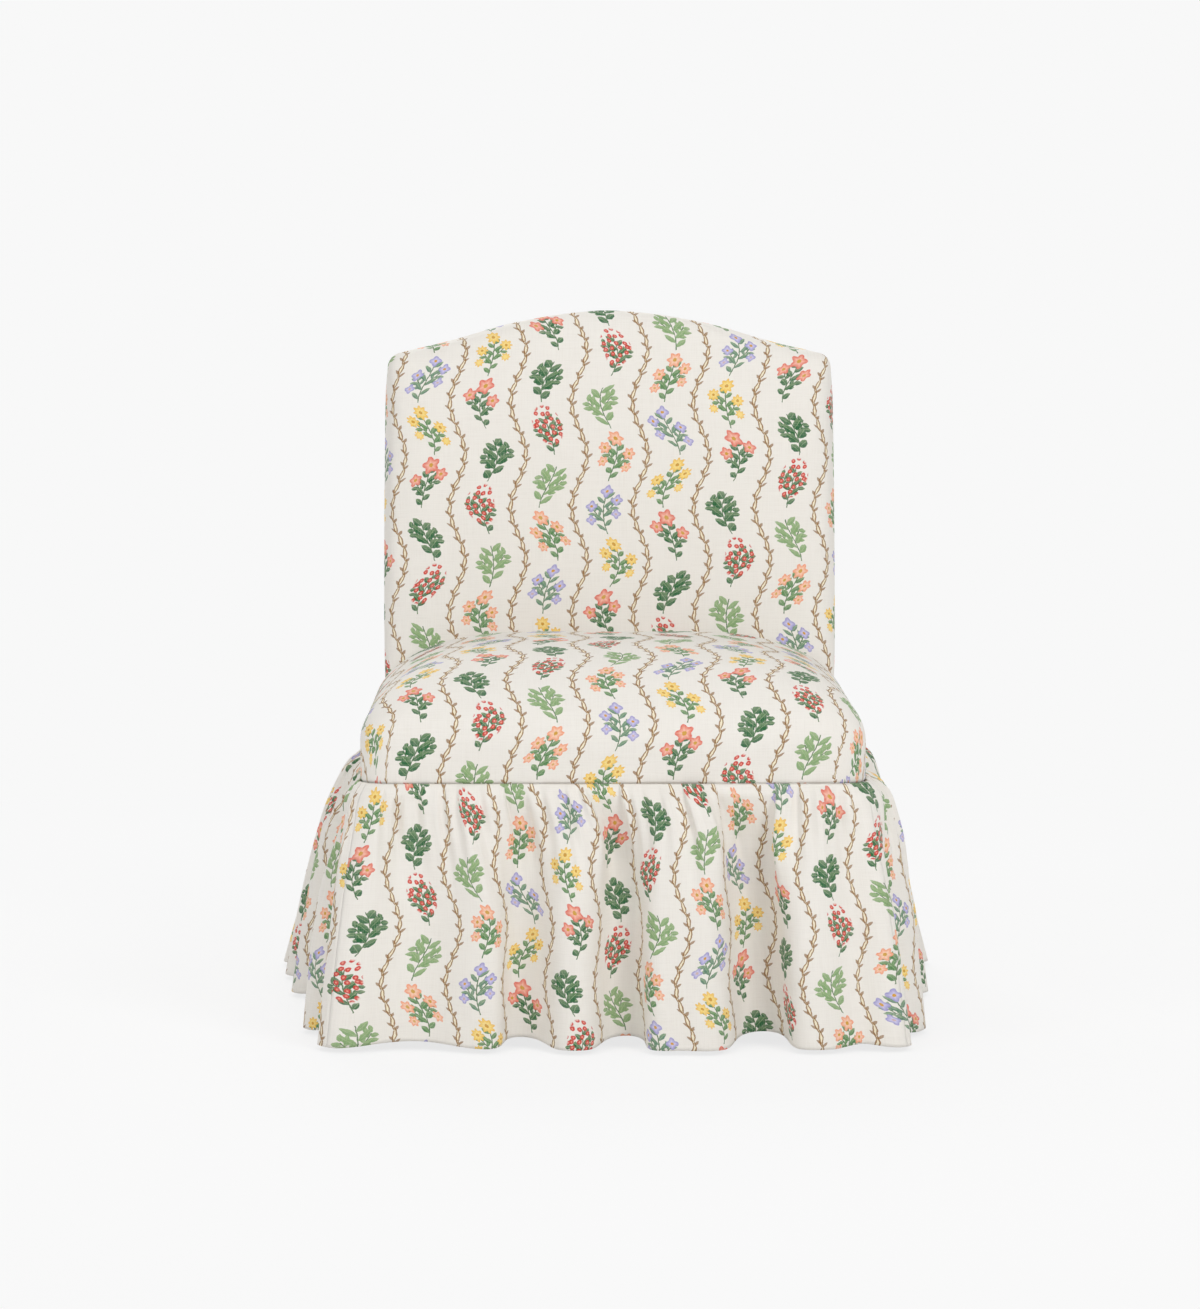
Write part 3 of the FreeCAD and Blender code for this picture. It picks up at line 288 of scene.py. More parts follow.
@dataclass(frozen=True)
class PrintedLinen:
    """Ivory linen printed with twisted trails and sprigs, with its lengths in millimetres."""

    name: str = "printed_linen"
    ground: Colour = srgb(242, 238, 231)
    thread_gap: Colour = srgb(218, 211, 201)
    trail_fill: Colour = srgb(245, 235, 208)
    trail: Colour = srgb(146, 103, 46)
    stem: Colour = srgb(84, 118, 76)
    vein: Colour = srgb(190, 208, 160)
    column_width: float = 80.0
    row_height: float = 70.0
    sprig_scale: float = 1.14
    wave_height: float = 140.0
    wave_reach: float = 10.0
    wander_scale: float = 240.0
    wander_reach: float = 2.4
    trail_shift: float = 13.0
    twist_reach: float = 2.3
    trail_leaf: Pair = (9.5, 1.7)
    stem_foot: float = 31.0
    stem_tip: float = 17.0
    branch_fork: float = 13.0
    branch_length: float = 21.0
    branch_way: Pair = (0.643, 0.766)
    eye: Colour = srgb(214, 160, 60)
    berry_kind: int = 3
    berry_pitch: float = 7.6
    cluster: Pair = (18.0, 25.0)
    thread_pitch: float = 0.8
    full_value: float = 25.0

    def lookup(self, sh: Shader, kind: Wire, values: list[Colour]) -> Wire:
        """Chooses one of the sprigs' colours or triples with a stepped colour ramp.

        Args:
            sh: The shader.
            kind: The number of the sprig, from 0.
            values: What each sprig takes.

        Returns:
            The chosen colour.
        """
        node = sh.node("ShaderNodeValToRGB", None, {0: kind / len(SPRIGS)})
        ramp = node.color_ramp
        ramp.interpolation = "CONSTANT"
        while len(ramp.elements) < len(values):
            ramp.elements.new(1.0)
        for k, (element, value) in enumerate(zip(ramp.elements, values)):
            element.position = max(0.0, k - 0.25) / len(SPRIGS)
            element.color = (*value, 1.0)
        return Wire(sh, node.outputs[0])

    def sizes(self, sh: Shader, kind: Wire, values: list[Triple]) -> list[Wire]:
        """Chooses three sizes of a sprig, which are kept as shares of full_value."""
        scaled = [tuple(v / self.full_value for v in triple) for triple in values]
        return [part * self.full_value for part in sh.parts(self.lookup(sh, kind, scaled))]

    def leaves(
        self, along: Wire, beside: Wire, row: Row, size: tuple[Wire | float, Wire | float]
    ) -> tuple[Wire, Wire]:
        """Alternating leaves on both sides of a stem.

        Args:
            along: Distance along the stem.
            beside: Distance beside it, with its sign.
            row: How the leaves stand.
            size: The length and half the width of a leaf.

        Returns:
            The leaves' mask and how light they are.
        """
        length, width = size
        span = row.end - row.start
        reach = abs(beside)
        foot = along - reach * (1 / math.tan(row.slant)) - row.start + beside.math("SIGN") * (row.pitch / 4)
        nearest = (foot / row.pitch).math("ROUND") * row.pitch
        apart = (foot - nearest) * math.sin(row.slant)
        share = (reach / math.sin(row.slant) + (foot - nearest) * math.cos(row.slant)) / length
        share = share / (1.12 - abs(nearest - span * 0.42) * (0.7 / span))
        edge = share * (1 - share) * 4 * width
        place = nearest + row.start
        inside = place.step(row.start - 1.5, row.start - 0.5) * (1 - place.step(row.end + 0.5, row.end + 1.5))
        mask = (edge - abs(apart)).step(-0.2, 0.3) * inside
        light = (apart / width) * 0.3 + share * 0.35 + (1 - abs(apart).step(0.1, 0.45)) * 0.45
        return mask, light

    def bloom(self, x: Wire, y: Wire, radius: Wire, petals: Wire) -> tuple[Wire, Wire, Wire]:
        """A flower seen from above.

        Args:
            x: Distance from its middle across.
            y: Distance from its middle up.
            radius: Its radius.
            petals: How many petals it has.

        Returns:
            The flower's mask, its eye's mask, and how pale its petals are.
        """
        far = (x * x + y * y).math("SQRT")
        wave = (y.math("ARCTAN2", x) * petals).math("COSINE")
        edge = radius * (wave * 0.16 + 0.84)
        mask = (edge - far).step(-0.2, 0.4) * radius.step(2.0, 3.0)
        eye = (radius * 0.24 - far).step(-0.2, 0.4) * radius.step(5.5, 6.5)
        share = far / (radius + 0.01)
        pale = (1 - share).step(0.1, 0.75) * 0.75 + wave.step(0.2, 1.0) * 0.28
        return mask, eye, pale

    def build(self) -> bpy.types.Material:
        """Makes the material.

        Returns:
            The material.
        """
        sh = Shader.named(self.name)
        cloth = sh.cloth_coordinates()
        wander = sh.add("ShaderNodeTexNoise", None, {"Vector": cloth, "Scale": self.wander_scale}, "Color")
        shift = sh.add("ShaderNodeVectorMath", {"operation": "SUBTRACT"}, {0: wander, 1: (0.5,) * 3})
        scaled = {0: shift, "Scale": self.wander_reach}
        shift_x, shift_y, _ = sh.parts(sh.add("ShaderNodeVectorMath", {"operation": "SCALE"}, scaled))
        across, up, _ = sh.parts(cloth)
        across, up = across * 1000.0, up * 1000.0
        wave = (up * (2 * math.pi / self.wave_height)).math("SINE") * self.wave_reach
        column_place = (across + wave) / self.column_width + 0.5
        column = column_place.math("FLOOR")
        x = (column_place - column - 0.5) * self.column_width + shift_x
        row_place = up / self.row_height + column * 0.5
        row = row_place.math("FLOOR")
        y = (row_place - row - 0.5) * self.row_height + shift_y
        kind = (column * 3 + row * 2) % len(SPRIGS)
        facing = ((column + row) % 2) * 2 - 1
        weave, gaps = self.weave(sh, cloth, across, up)
        tone = sh.noise(cloth, 14.0)
        colour = sh.mix(tone * 0.1, self.ground, self.thread_gap)
        colour = self.trails(sh, colour, x, up + column * self.trail_shift)
        colour = self.sprigs(sh, colour, (x * facing / self.sprig_scale, y / self.sprig_scale), kind)
        colour = sh.mix(gaps, colour, self.thread_gap)
        surface = {
            "Base Color": colour,
            "Roughness": 0.88,
            "Specular IOR Level": 0.2,
            "Sheen Weight": 0.08,
            "Sheen Roughness": 0.5,
            "Normal": sh.bump(weave, 0.0003, 0.4),
        }
        return sh.close(surface)

    def trails(self, sh: Shader, colour: Wire, x: Wire, up: Wire) -> Wire:
        """Draws the twisted trails with their small leaves.

        Args:
            sh: The shader.
            colour: The colour below.
            x: Distance from the column's middle.
            up: Distance up the cloth.

        Returns:
            The colour with its trails.
        """
        beside = x - x.math("SIGN") * (self.column_width / 2)
        apart = abs(beside)
        twist = (up * (2 * math.pi / self.row_height * 2)).math("SINE") * self.twist_reach
        fill = (abs(twist) - apart).step(-0.3, 0.3)
        strand = abs(beside - twist).math("MINIMUM", abs(beside + twist))
        ink = 1 - strand.step(0.5, 1.15)
        row = Row(0.0, self.row_height, self.row_height / 4)
        sprout, _ = self.leaves(up % self.row_height, beside, row, self.trail_leaf)
        colour = sh.mix(fill, colour, self.trail_fill)
        colour = sh.mix(sprout * 0.8, colour, self.trail)
        return sh.mix(ink * 0.92, colour, self.trail)

    def sprigs(self, sh: Shader, colour: Wire, place: tuple[Wire, Wire], kind: Wire) -> Wire:
        """Draws one sprig in each place of the print.

        Args:
            sh: The shader.
            colour: The colour below.
            place: Distances from the place's middle.
            kind: Which sprig it is.

        Returns:
            The colour with its sprigs.
        """
        x, y = place
        length, width, petals = self.sizes(sh, kind, [(*s.stem_leaf, s.petals) for s in SPRIGS])
        twig_length, twig_width, _ = self.sizes(sh, kind, [(*s.branch_leaf, 0) for s in SPRIGS])
        top, side, low = self.sizes(sh, kind, [s.blooms for s in SPRIGS])
        greenery = self.lookup(sh, kind, [s.greenery for s in SPRIGS])
        petal = self.lookup(sh, kind, [s.petal for s in SPRIGS])
        heart = self.lookup(sh, kind, [s.heart for s in SPRIGS])
        x = x - (y / 15 + kind).math("SINE") * 2.4
        reach = abs(x)
        height = y + x.math("SIGN") * 3.5
        out, rise = self.branch_way
        branch_along = reach * out + (height + self.branch_fork) * rise
        branch_beside = reach * rise - (height + self.branch_fork) * out
        ends = (self.stem_tip - y).step(-0.5, 0.5) * (y + self.stem_foot).step(-0.5, 0.5)
        stem = (1 - reach.step(0.35, 0.8)) * ends
        ends = (self.branch_length - branch_along).step(-0.5, 0.5) * branch_along.step(0.0, 0.5)
        twig = (1 - abs(branch_beside).step(0.3, 0.75)) * ends
        colour = sh.mix(stem.math("MAXIMUM", twig), colour, self.stem)
        rows = (
            self.leaves(branch_along, branch_beside, Row(6.0, 20.0, 7.0), (twig_length, twig_width)),
            self.leaves(y, x, Row(-24.0, 15.0, 10.5), (length, width)),
        )
        for mask, light in rows:
            lit = sh.mix(light.step(0.0, 1.0) * 0.7, greenery, self.vein)
            colour = sh.mix(mask * 0.96, colour, lit)
        colour = self.berries(sh, colour, (x, y), kind)
        heads = (
            (x, y - 19.0, top),
            (reach - 14.0, height - 5.0, side),
            (reach - 14.5, height + 11.0, low),
        )
        for across, up, radius in heads:
            mask, eye, pale = self.bloom(across, up, radius, petals)
            colour = sh.mix(mask, colour, sh.mix(pale, petal, heart))
            colour = sh.mix(eye, colour, self.eye)
        return colour

    def berries(self, sh: Shader, colour: Wire, place: tuple[Wire, Wire], kind: Wire) -> Wire:
        """Draws the loose cluster of berries of one kind of sprig.

        Args:
            sh: The shader.
            colour: The colour below.
            place: Distances from the sprig's middle.
            kind: Which sprig it is.

        Returns:
            The colour with its berries.
        """
        x, y = place
        spot = sh.add("ShaderNodeCombineXYZ", None, {0: x / self.berry_pitch, 1: y / self.berry_pitch})
        sockets = {"Vector": spot, "Scale": 1.0, "Randomness": 0.6}
        far = sh.add("ShaderNodeTexVoronoi", {"voronoi_dimensions": "2D"}, sockets)
        wide, low = x / self.cluster[0], (y - 4) / self.cluster[1]
        inside = 1 - (wide * wide + low * low).step(0.75, 0.95)
        chosen = 1 - abs(kind - self.berry_kind).step(0.3, 0.6)
        berry = (1 - far.step(0.3, 0.38)) * inside * chosen
        sprig = SPRIGS[self.berry_kind]
        lit = sh.mix((1 - far.step(0.06, 0.2)) * 0.8, sprig.petal, sprig.heart)
        return sh.mix(berry, colour, lit)

    def weave(self, sh: Shader, cloth: Wire, across: Wire, up: Wire) -> tuple[Wire, Wire]:
        """The plain weave with its thick and thin threads.

        Args:
            sh: The shader.
            cloth: The place on the cloth.
            across: The distance across in millimetres.
            up: The distance up in millimetres.

        Returns:
            The height of the threads and how much the gaps between them show.
        """
        turn = 2 * math.pi / self.thread_pitch
        over = (across * turn).math("SINE") * (up * turn).math("SINE")
        warp = sh.noise(sh.stretched(cloth, (900.0, 30.0, 1.0)), 1.0)
        weft = sh.noise(sh.stretched(cloth, (30.0, 900.0, 1.0)), 1.0)
        slub = warp + weft
        return over * 0.25 + slub * 0.5, (slub - 0.85).step(0.0, 0.5) * 0.22


@dataclass(frozen=True)
class WovenCloth:
    """A plain cloth whose threads run along the piece's own axes."""

    name: str
    colour: Colour
    dark: Colour
    pitch: float
    depth: float
    roughness: float = 0.9
    axes: tuple[int, int] = (0, 1)

    def build(self) -> bpy.types.Material:
        """Makes the material.

        Returns:
            The material.
        """
        sh = Shader.named(self.name)
        place = sh.object_coordinates()
        axes = sh.parts(place)
        first, second = axes[self.axes[0]], axes[self.axes[1]]
        turn = 2 * math.pi / self.pitch
        over = (first * turn).math("SINE") * (second * turn).math("SINE")
        threads = over * 0.5 + 0.5
        fuzz = sh.noise(place, 700.0, 4.0)
        patch = sh.noise(place, 30.0, 3.0)
        tone = threads * 0.4 + fuzz * 0.35 + patch * 0.25
        surface = {
            "Base Color": sh.mix(tone, self.dark, self.colour),
            "Roughness": self.roughness,
            "Specular IOR Level": 0.2,
            "Normal": sh.bump(threads + fuzz * 0.6, self.depth, 0.6),
        }
        return sh.close(surface)


@dataclass(frozen=True)
class Timber:
    """Planed wood with grain along one axis."""

    name: str
    light: Colour
    dark: Colour
    grain_axis: int
    roughness: float
    coat: float = 0.0

    def scales(self, across: float, along: float) -> Triple:
        """The scales of a figure, one across the grain and one along it."""
        return tuple(along if axis == self.grain_axis else across for axis in range(3))

    def build(self) -> bpy.types.Material:
        """Makes the material.

        Returns:
            The material.
        """
        sh = Shader.named(self.name)
        place = sh.object_coordinates()
        figure = sh.noise(sh.stretched(place, self.scales(38.0, 2.2)), 1.0, 5.0)
        pores = sh.noise(sh.stretched(place, self.scales(900.0, 22.0)), 1.0)
        rings = (figure * 26.0).math("SINE") * 0.5 + 0.5
        tone = rings * 0.6 + figure * 0.3 + pores.step(0.42, 0.6) * 0.25
        surface = {
            "Base Color": sh.mix(tone, self.dark, self.light),
            "Roughness": pores * 0.2 + (self.roughness - 0.1),
            "Coat Weight": self.coat,
            "Coat Roughness": 0.25,
            "Normal": sh.bump(pores * 0.5 + rings * 0.2, 0.0003, 0.4),
        }
        return sh.close(surface)


@dataclass(frozen=True)
class PlatedSteel:
    """Steel wire or hardware with a dull plating."""

    name: str
    colour: Colour
    dark: Colour
    roughness: float

    def build(self) -> bpy.types.Material:
        """Makes the material.

        Returns:
            The material.
        """
        sh = Shader.named(self.name)
        place = sh.object_coordinates()
        cloud = sh.noise(place, 160.0, 4.0)
        scuff = sh.noise(sh.stretched(place, (120.0, 900.0, 900.0)), 1.0)
        surface = {
            "Base Color": sh.mix(cloud.step(0.35, 0.7), self.dark, self.colour),
            "Metallic": 1.0,
            "Roughness": scuff * 0.25 + (self.roughness - 0.1),
            "Normal": sh.bump(scuff, 0.0001, 0.25),
        }
        return sh.close(surface)


@dataclass(frozen=True)
class Wadding:
    """Foam, batting, card or plastic: a plain body with a fine grain."""

    name: str
    colour: Colour
    dark: Colour
    cell: float
    depth: float
    roughness: float = 0.95
    fibres: bool = False

    def build(self) -> bpy.types.Material:
        """Makes the material.

        Returns:
            The material.
        """
        sh = Shader.named(self.name)
        place = sh.object_coordinates()
        if self.fibres:
            grain = sh.noise(sh.stretched(place, (1.0, 0.3, 1.0)), 1.0 / self.cell, 6.0)
        else:
            grain = sh.add("ShaderNodeTexVoronoi", None, {"Vector": place, "Scale": 1.0 / self.cell})
        cloud = sh.noise(place, 18.0, 3.0)
        tone = grain.step(0.1, 0.8) * 0.6 + cloud * 0.4
        surface = {
            "Base Color": sh.mix(tone, self.dark, self.colour),
            "Roughness": self.roughness,
            "Specular IOR Level": 0.25,
            "Normal": sh.bump(grain, self.depth, 0.7),
        }
        return sh.close(surface)


class Finish(Enum):
    """The finishes of the chair, each with the record's slot that it belongs to."""

    PRINT_LINEN = PrintedLinen()
    DARK_LEG_WOOD = Timber("dark_leg_wood", srgb(96, 62, 40), srgb(52, 32, 22), 2, 0.42, 0.35)
    FRAME_HARDWOOD = Timber("frame_hardwood", srgb(216, 184, 140), srgb(176, 136, 92), 0, 0.68)
    ZINC_STEEL = PlatedSteel("zinc_steel", (0.68, 0.69, 0.7), (0.5, 0.51, 0.53), 0.38)
    SPRING_STEEL = PlatedSteel("spring_steel", (0.35, 0.35, 0.36), (0.2, 0.2, 0.21), 0.42)
    FOAM = Wadding("foam", srgb(242, 232, 200), srgb(216, 202, 164), 0.0022, 0.0008)
    BATTING = Wadding("batting", srgb(248, 247, 243), srgb(226, 225, 220), 0.004, 0.0012, fibres=True)
    JUTE = WovenCloth("jute", srgb(190, 162, 118), srgb(130, 104, 68), 0.0034, 0.0009, axes=(0, 2))
    CARD = Wadding("card", srgb(196, 178, 148), srgb(160, 140, 108), 0.0012, 0.0002, fibres=True)
    DUST_CLOTH = WovenCloth("dust_cloth", srgb(54, 54, 56), srgb(30, 30, 32), 0.0026, 0.0004)
    DECK_CLOTH = WovenCloth("deck_cloth", srgb(228, 222, 206), srgb(198, 190, 170), 0.0018, 0.0004)
    NYLON = Wadding("nylon", srgb(236, 234, 228), srgb(220, 217, 208), 0.0008, 0.0001, 0.5)

    @property
    def slot(self) -> str:
        """The record's slot name."""
        return self.name.lower()


@cache
def material_of(finish: Finish) -> bpy.types.Material:
    """The material of a finish, built at its first use."""
    return finish.value.build()


# Cloth forms


# Points along a line with their outward normals
Edge = tuple[np.ndarray, np.ndarray]


def steps_of(points: np.ndarray) -> np.ndarray:
    """The distance from each point to the next."""
    return np.hypot(*np.diff(points, axis=0).T)


def joined(edges: list[Edge]) -> Edge:
    """Edges put one after the other."""
    return tuple(np.vstack(parts) for parts in zip(*edges))


def mirrored(edge: Edge) -> Edge:
    """The same edge left of the middle, run the other way."""
    return tuple(part[::-1] * np.array([-1.0, 1.0]) for part in edge)


@dataclass
class Ring:
    """One closed outline of a padded form, as four sides with outward normals."""

    sides: list[Edge]
    lift: float
    lengths: list[np.ndarray] = field(default_factory=list)

    def __post_init__(self) -> None:
        """Measures the sides."""
        for points, _ in self.sides:
            total = np.concatenate([[0.0], np.cumsum(steps_of(points))])
            self.lengths.append(total / total[-1])

    def at(self, side: int, share: float) -> np.ndarray:
        """A point of a side.

        Args:
            side: 0 front, 1 right, 2 rear, 3 left, running anticlockwise.
            share: How far along the side, from 0 to 1.

        Returns:
            Its place and its outward normal, four numbers.
        """
        points, normals = self.sides[side]
        lengths = self.lengths[side]
        found = [np.interp(share, lengths, column) for column in (*points.T, *normals.T)]
        size = math.hypot(found[2], found[3])
        return np.array([found[0], found[1], found[2] / size, found[3] / size])

    def reach(self, nx: float, ny: float) -> float:
        """How far the outline reaches along a direction."""
        return max(float((points @ np.array([nx, ny])).max()) for points, _ in self.sides)


def arc_points(centre: Pair, radius: float, start: float, end: float, count: int = 9) -> Edge:
    """Points and outward normals along an arc.

    Args:
        centre: Its centre.
        radius: Its radius.
        start: Where it starts, in degrees.
        end: Where it ends, in degrees.
        count: How many points.

    Returns:
        The points and their normals.
    """
    turns = np.radians(np.linspace(start, end, count))
    normals = np.column_stack([np.cos(turns), np.sin(turns)])
    return np.array(centre) + radius * normals, normals


def four_sides(corners: list[Edge], rear: Edge | None = None) -> list[Edge]:
    """Joins corner arcs into four sides that meet in the middle of each corner.

    Args:
        corners: The arcs at front left, front right, rear right and rear left.
        rear: What lies between the two rear corners.

    Returns:
        The four sides.
    """
    sides = []
    for first, second in zip(corners, corners[1:] + corners[:1]):
        half = len(first[0]) // 2
        pieces = [tuple(part[half:] for part in first), tuple(part[: half + 1] for part in second)]
        if rear and len(sides) == 2:
            pieces.insert(1, rear)
        sides.append(joined(pieces))
    return sides


def rounded_box_ring(half_widths: Pair, front: float, rear: float, radii: Pair, lift: float) -> Ring:
    """A rounded outline, wider or narrower at the rear.

    Args:
        half_widths: Half its width at the front and at the rear.
        front: Its front's place.
        rear: Its rear's place.
        radii: The radius of its front and its rear corners.
        lift: Its height.

    Returns:
        The ring.
    """
    near, far = half_widths
    limit = 0.47 * min(2 * near, rear - front)
    a, b = (min(radius, limit) for radius in radii)
    corners = [
        arc_points((-near + a, front + a), a, 180, 270),
        arc_points((near - a, front + a), a, 270, 360),
        arc_points((far - b, rear - b), b, 0, 90),
        arc_points((-far + b, rear - b), b, 90, 180),
    ]
    return Ring(four_sides(corners), lift)


@dataclass
class Shell:
    """A grid of cloth laid over a stack of rings, with the flat cloth's places kept."""

    rings: list[Ring]
    columns: int
    rows: int
    corner_ease: float = 0.25
    extra: list[dict[str, float]] = field(default_factory=list)

    def measure(self) -> None:
        """Adds up how much more cloth than outline each ring needs."""
        ways = {"front": (0, -1), "side": (1, 0), "rear": (0, 1)}
        spare = dict.fromkeys(ways, 0.0)
        self.extra = [dict(spare)]
        for inner, outer in zip(self.rings[:0:-1], self.rings[-2::-1]):
            for name, way in ways.items():
                out = outer.reach(*way) - inner.reach(*way)
                spare[name] += math.hypot(out, inner.lift - outer.lift) - out
            self.extra.append(dict(spare))
        self.extra.reverse()

    def place(self, i: int, j: int) -> tuple[Triple, Pair]:
        """Where a grid point goes.

        Args:
            i: Its column.
            j: Its row.

        Returns:
            Its place on the form and its place on the flat cloth.
        """
        level = min(i, self.columns - i, j, self.rows - j)
        inner = len(self.rings) - 1
        if level >= inner:
            return self.cap(i - inner, j - inner)
        wide, deep = self.columns - 2 * level, self.rows - 2 * level
        if j == level:
            side, share = 0, (i - level) / wide
        elif i == self.columns - level:
            side, share = 1, (j - level) / deep
        elif j == self.rows - level:
            side, share = 2, (self.columns - level - i) / wide
        else:
            side, share = 3, (self.rows - level - j) / deep
        ring = self.rings[level]
        x, y, nx, ny = ring.at(side, share)
        spare = self.extra[level]
        along = spare["side"] * nx * nx + spare["front" if ny < 0 else "rear"] * ny * ny
        along *= 1 - self.corner_ease * (2 * nx * ny) ** 2
        return (x, y, ring.lift), (x + nx * along, y + ny * along)

    def cap(self, i: int, j: int) -> tuple[Triple, Pair]:
        """Where a point inside the innermost ring goes.

        Args:
            i: Its column inside the ring.
            j: Its row inside the ring.

        Returns:
            Its place on the form and its place on the flat cloth.
        """
        inner = len(self.rings) - 1
        s = i / (self.columns - 2 * inner)
        t = j / (self.rows - 2 * inner)
        ring = self.rings[-1]
        low, high = ring.at(0, s)[:2], ring.at(2, 1 - s)[:2]
        left, right = ring.at(3, 1 - t)[:2], ring.at(1, t)[:2]
        c00, c10, c11, c01 = (ring.at(n, 0.0)[:2] for n in range(4))
        flat = (1 - t) * low + t * high + (1 - s) * left + s * right
        flat -= (1 - s) * (1 - t) * c00 + s * (1 - t) * c10 + s * t * c11 + (1 - s) * t * c01
        return (flat[0], flat[1], ring.lift), (flat[0], flat[1])

    def build(self, name: str, to_world: Callable[[Triple], Vector]) -> bpy.types.Object:
        """Makes the shell's mesh.

        Args:
            name: The piece's name.
            to_world: Turns a place on the form into one in the chair's frame.

        Returns:
            The piece.
        """
        self.measure()

        def put(i: int, j: int) -> tuple[Vector, Pair]:
            """A grid point's place and its cloth place."""
            place, flat = self.place(i, j)
            return to_world(place), flat

        return cloth_grid(name, self.columns, self.rows, put)


def cloth_grid(
    name: str, columns: int, rows: int, put: Callable[[int, int], tuple[Vector | Triple, Pair]]
) -> bpy.types.Object:
    """Makes a grid of cloth and puts each of its points in place.

    Args:
        name: The piece's name.
        columns: How many faces across.
        rows: How many faces up.
        put: Gives a grid point's place and its place on the flat cloth.

    Returns:
        The piece.
    """
    bm = bmesh.new()
    bmesh.ops.create_grid(bm, x_segments=columns, y_segments=rows, size=1.0)
    flat = {}
    for vertex in bm.verts:
        i = round((vertex.co.x + 1) / 2 * columns)
        j = round((vertex.co.y + 1) / 2 * rows)
        vertex.co, flat[vertex.index] = put(i, j)
    layer = bm.loops.layers.uv.new(CLOTH_UV)
    for face in bm.faces:
        face.smooth = True
        for loop in face.loops:
            loop[layer].uv = flat[loop.vert.index]
    return to_object(bm, name)


def to_object(bm: bmesh.types.BMesh, name: str) -> bpy.types.Object:
    """Ends a bmesh as an object of the scene.

    Args:
        bm: The bmesh, which is freed.
        name: The object's name.

    Returns:
        The object.
    """
    mesh = bpy.data.meshes.new(name)
    bm.to_mesh(mesh)
    bm.free()
    piece = bpy.data.objects.new(name, mesh)
    bpy.context.scene.collection.objects.link(piece)
    return piece


def coordinates(mesh: bpy.types.Mesh) -> np.ndarray:
    """The points of a mesh, one row each."""
    flat = np.empty(len(mesh.vertices) * 3)
    mesh.vertices.foreach_get("co", flat)
    return flat.reshape(-1, 3)


def between(place: float, start: float, run: float) -> float:
    """How far a place is through a run, held between 0 and 1."""
    return min(1.0, max(0.0, (place - start) / run))


def hump(place: float, middle: float, width: float) -> float:
    """A bell-shaped rise that is 1 at its middle."""
    return math.exp(-(((place - middle) / width) ** 2))


def add_wall(piece: bpy.types.Object, thickness: float) -> None:
    """Gives cloth its thickness, inwards from its face.

    Args:
        piece: The cloth.
        thickness: How thick it is, in metres.
    """
    wall = piece.modifiers.new("wall", "SOLIDIFY")
    wall.thickness = thickness
    wall.offset = -1.0


def finish_piece(piece: bpy.types.Object, finish: Finish, node: str) -> None:
    """Gives a piece its material and its place in the model.

    Args:
        piece: The piece.
        finish: Its finish.
        node: The CAD node that it stands for.
    """
    piece.data.materials.append(material_of(finish))
    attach(piece, BODY)
    finish.slot
    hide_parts(node)
    LOG.info("%s: %d faces, stands for %s", piece.name, len(piece.data.polygons), node)


def open_well(piece: bpy.types.Object) -> None:
    """Opens a cover where the springs and the rails pass under the back.

    Args:
        piece: The cover.
    """
    bm = bmesh.new()
    bm.from_mesh(piece.data)
    passed = []
    for face in bm.faces:
        place = face.calc_center_median()
        if abs(place.x) < WELL_HALF_WIDTH and place.y > WELL_FRONT and place.z < WELL_TOP:
            passed.append(face)
    bmesh.ops.delete(bm, geom=passed, context="FACES")
    bm.to_mesh(piece.data)
    bm.free()


def face_outwards(piece: bpy.types.Object) -> None:
    """Points the faces of an upright sheet away from the chair's middle.

    Args:
        piece: The sheet.
    """
    bm = bmesh.new()
    bm.from_mesh(piece.data)
    bm.normal_update()
    outward = sum(face.normal.dot(Vector((*face.calc_center_median().xy, 0.0))) for face in bm.faces)
    if outward < 0:
        bmesh.ops.reverse_faces(bm, faces=bm.faces)
    bm.to_mesh(piece.data)
    bm.free()


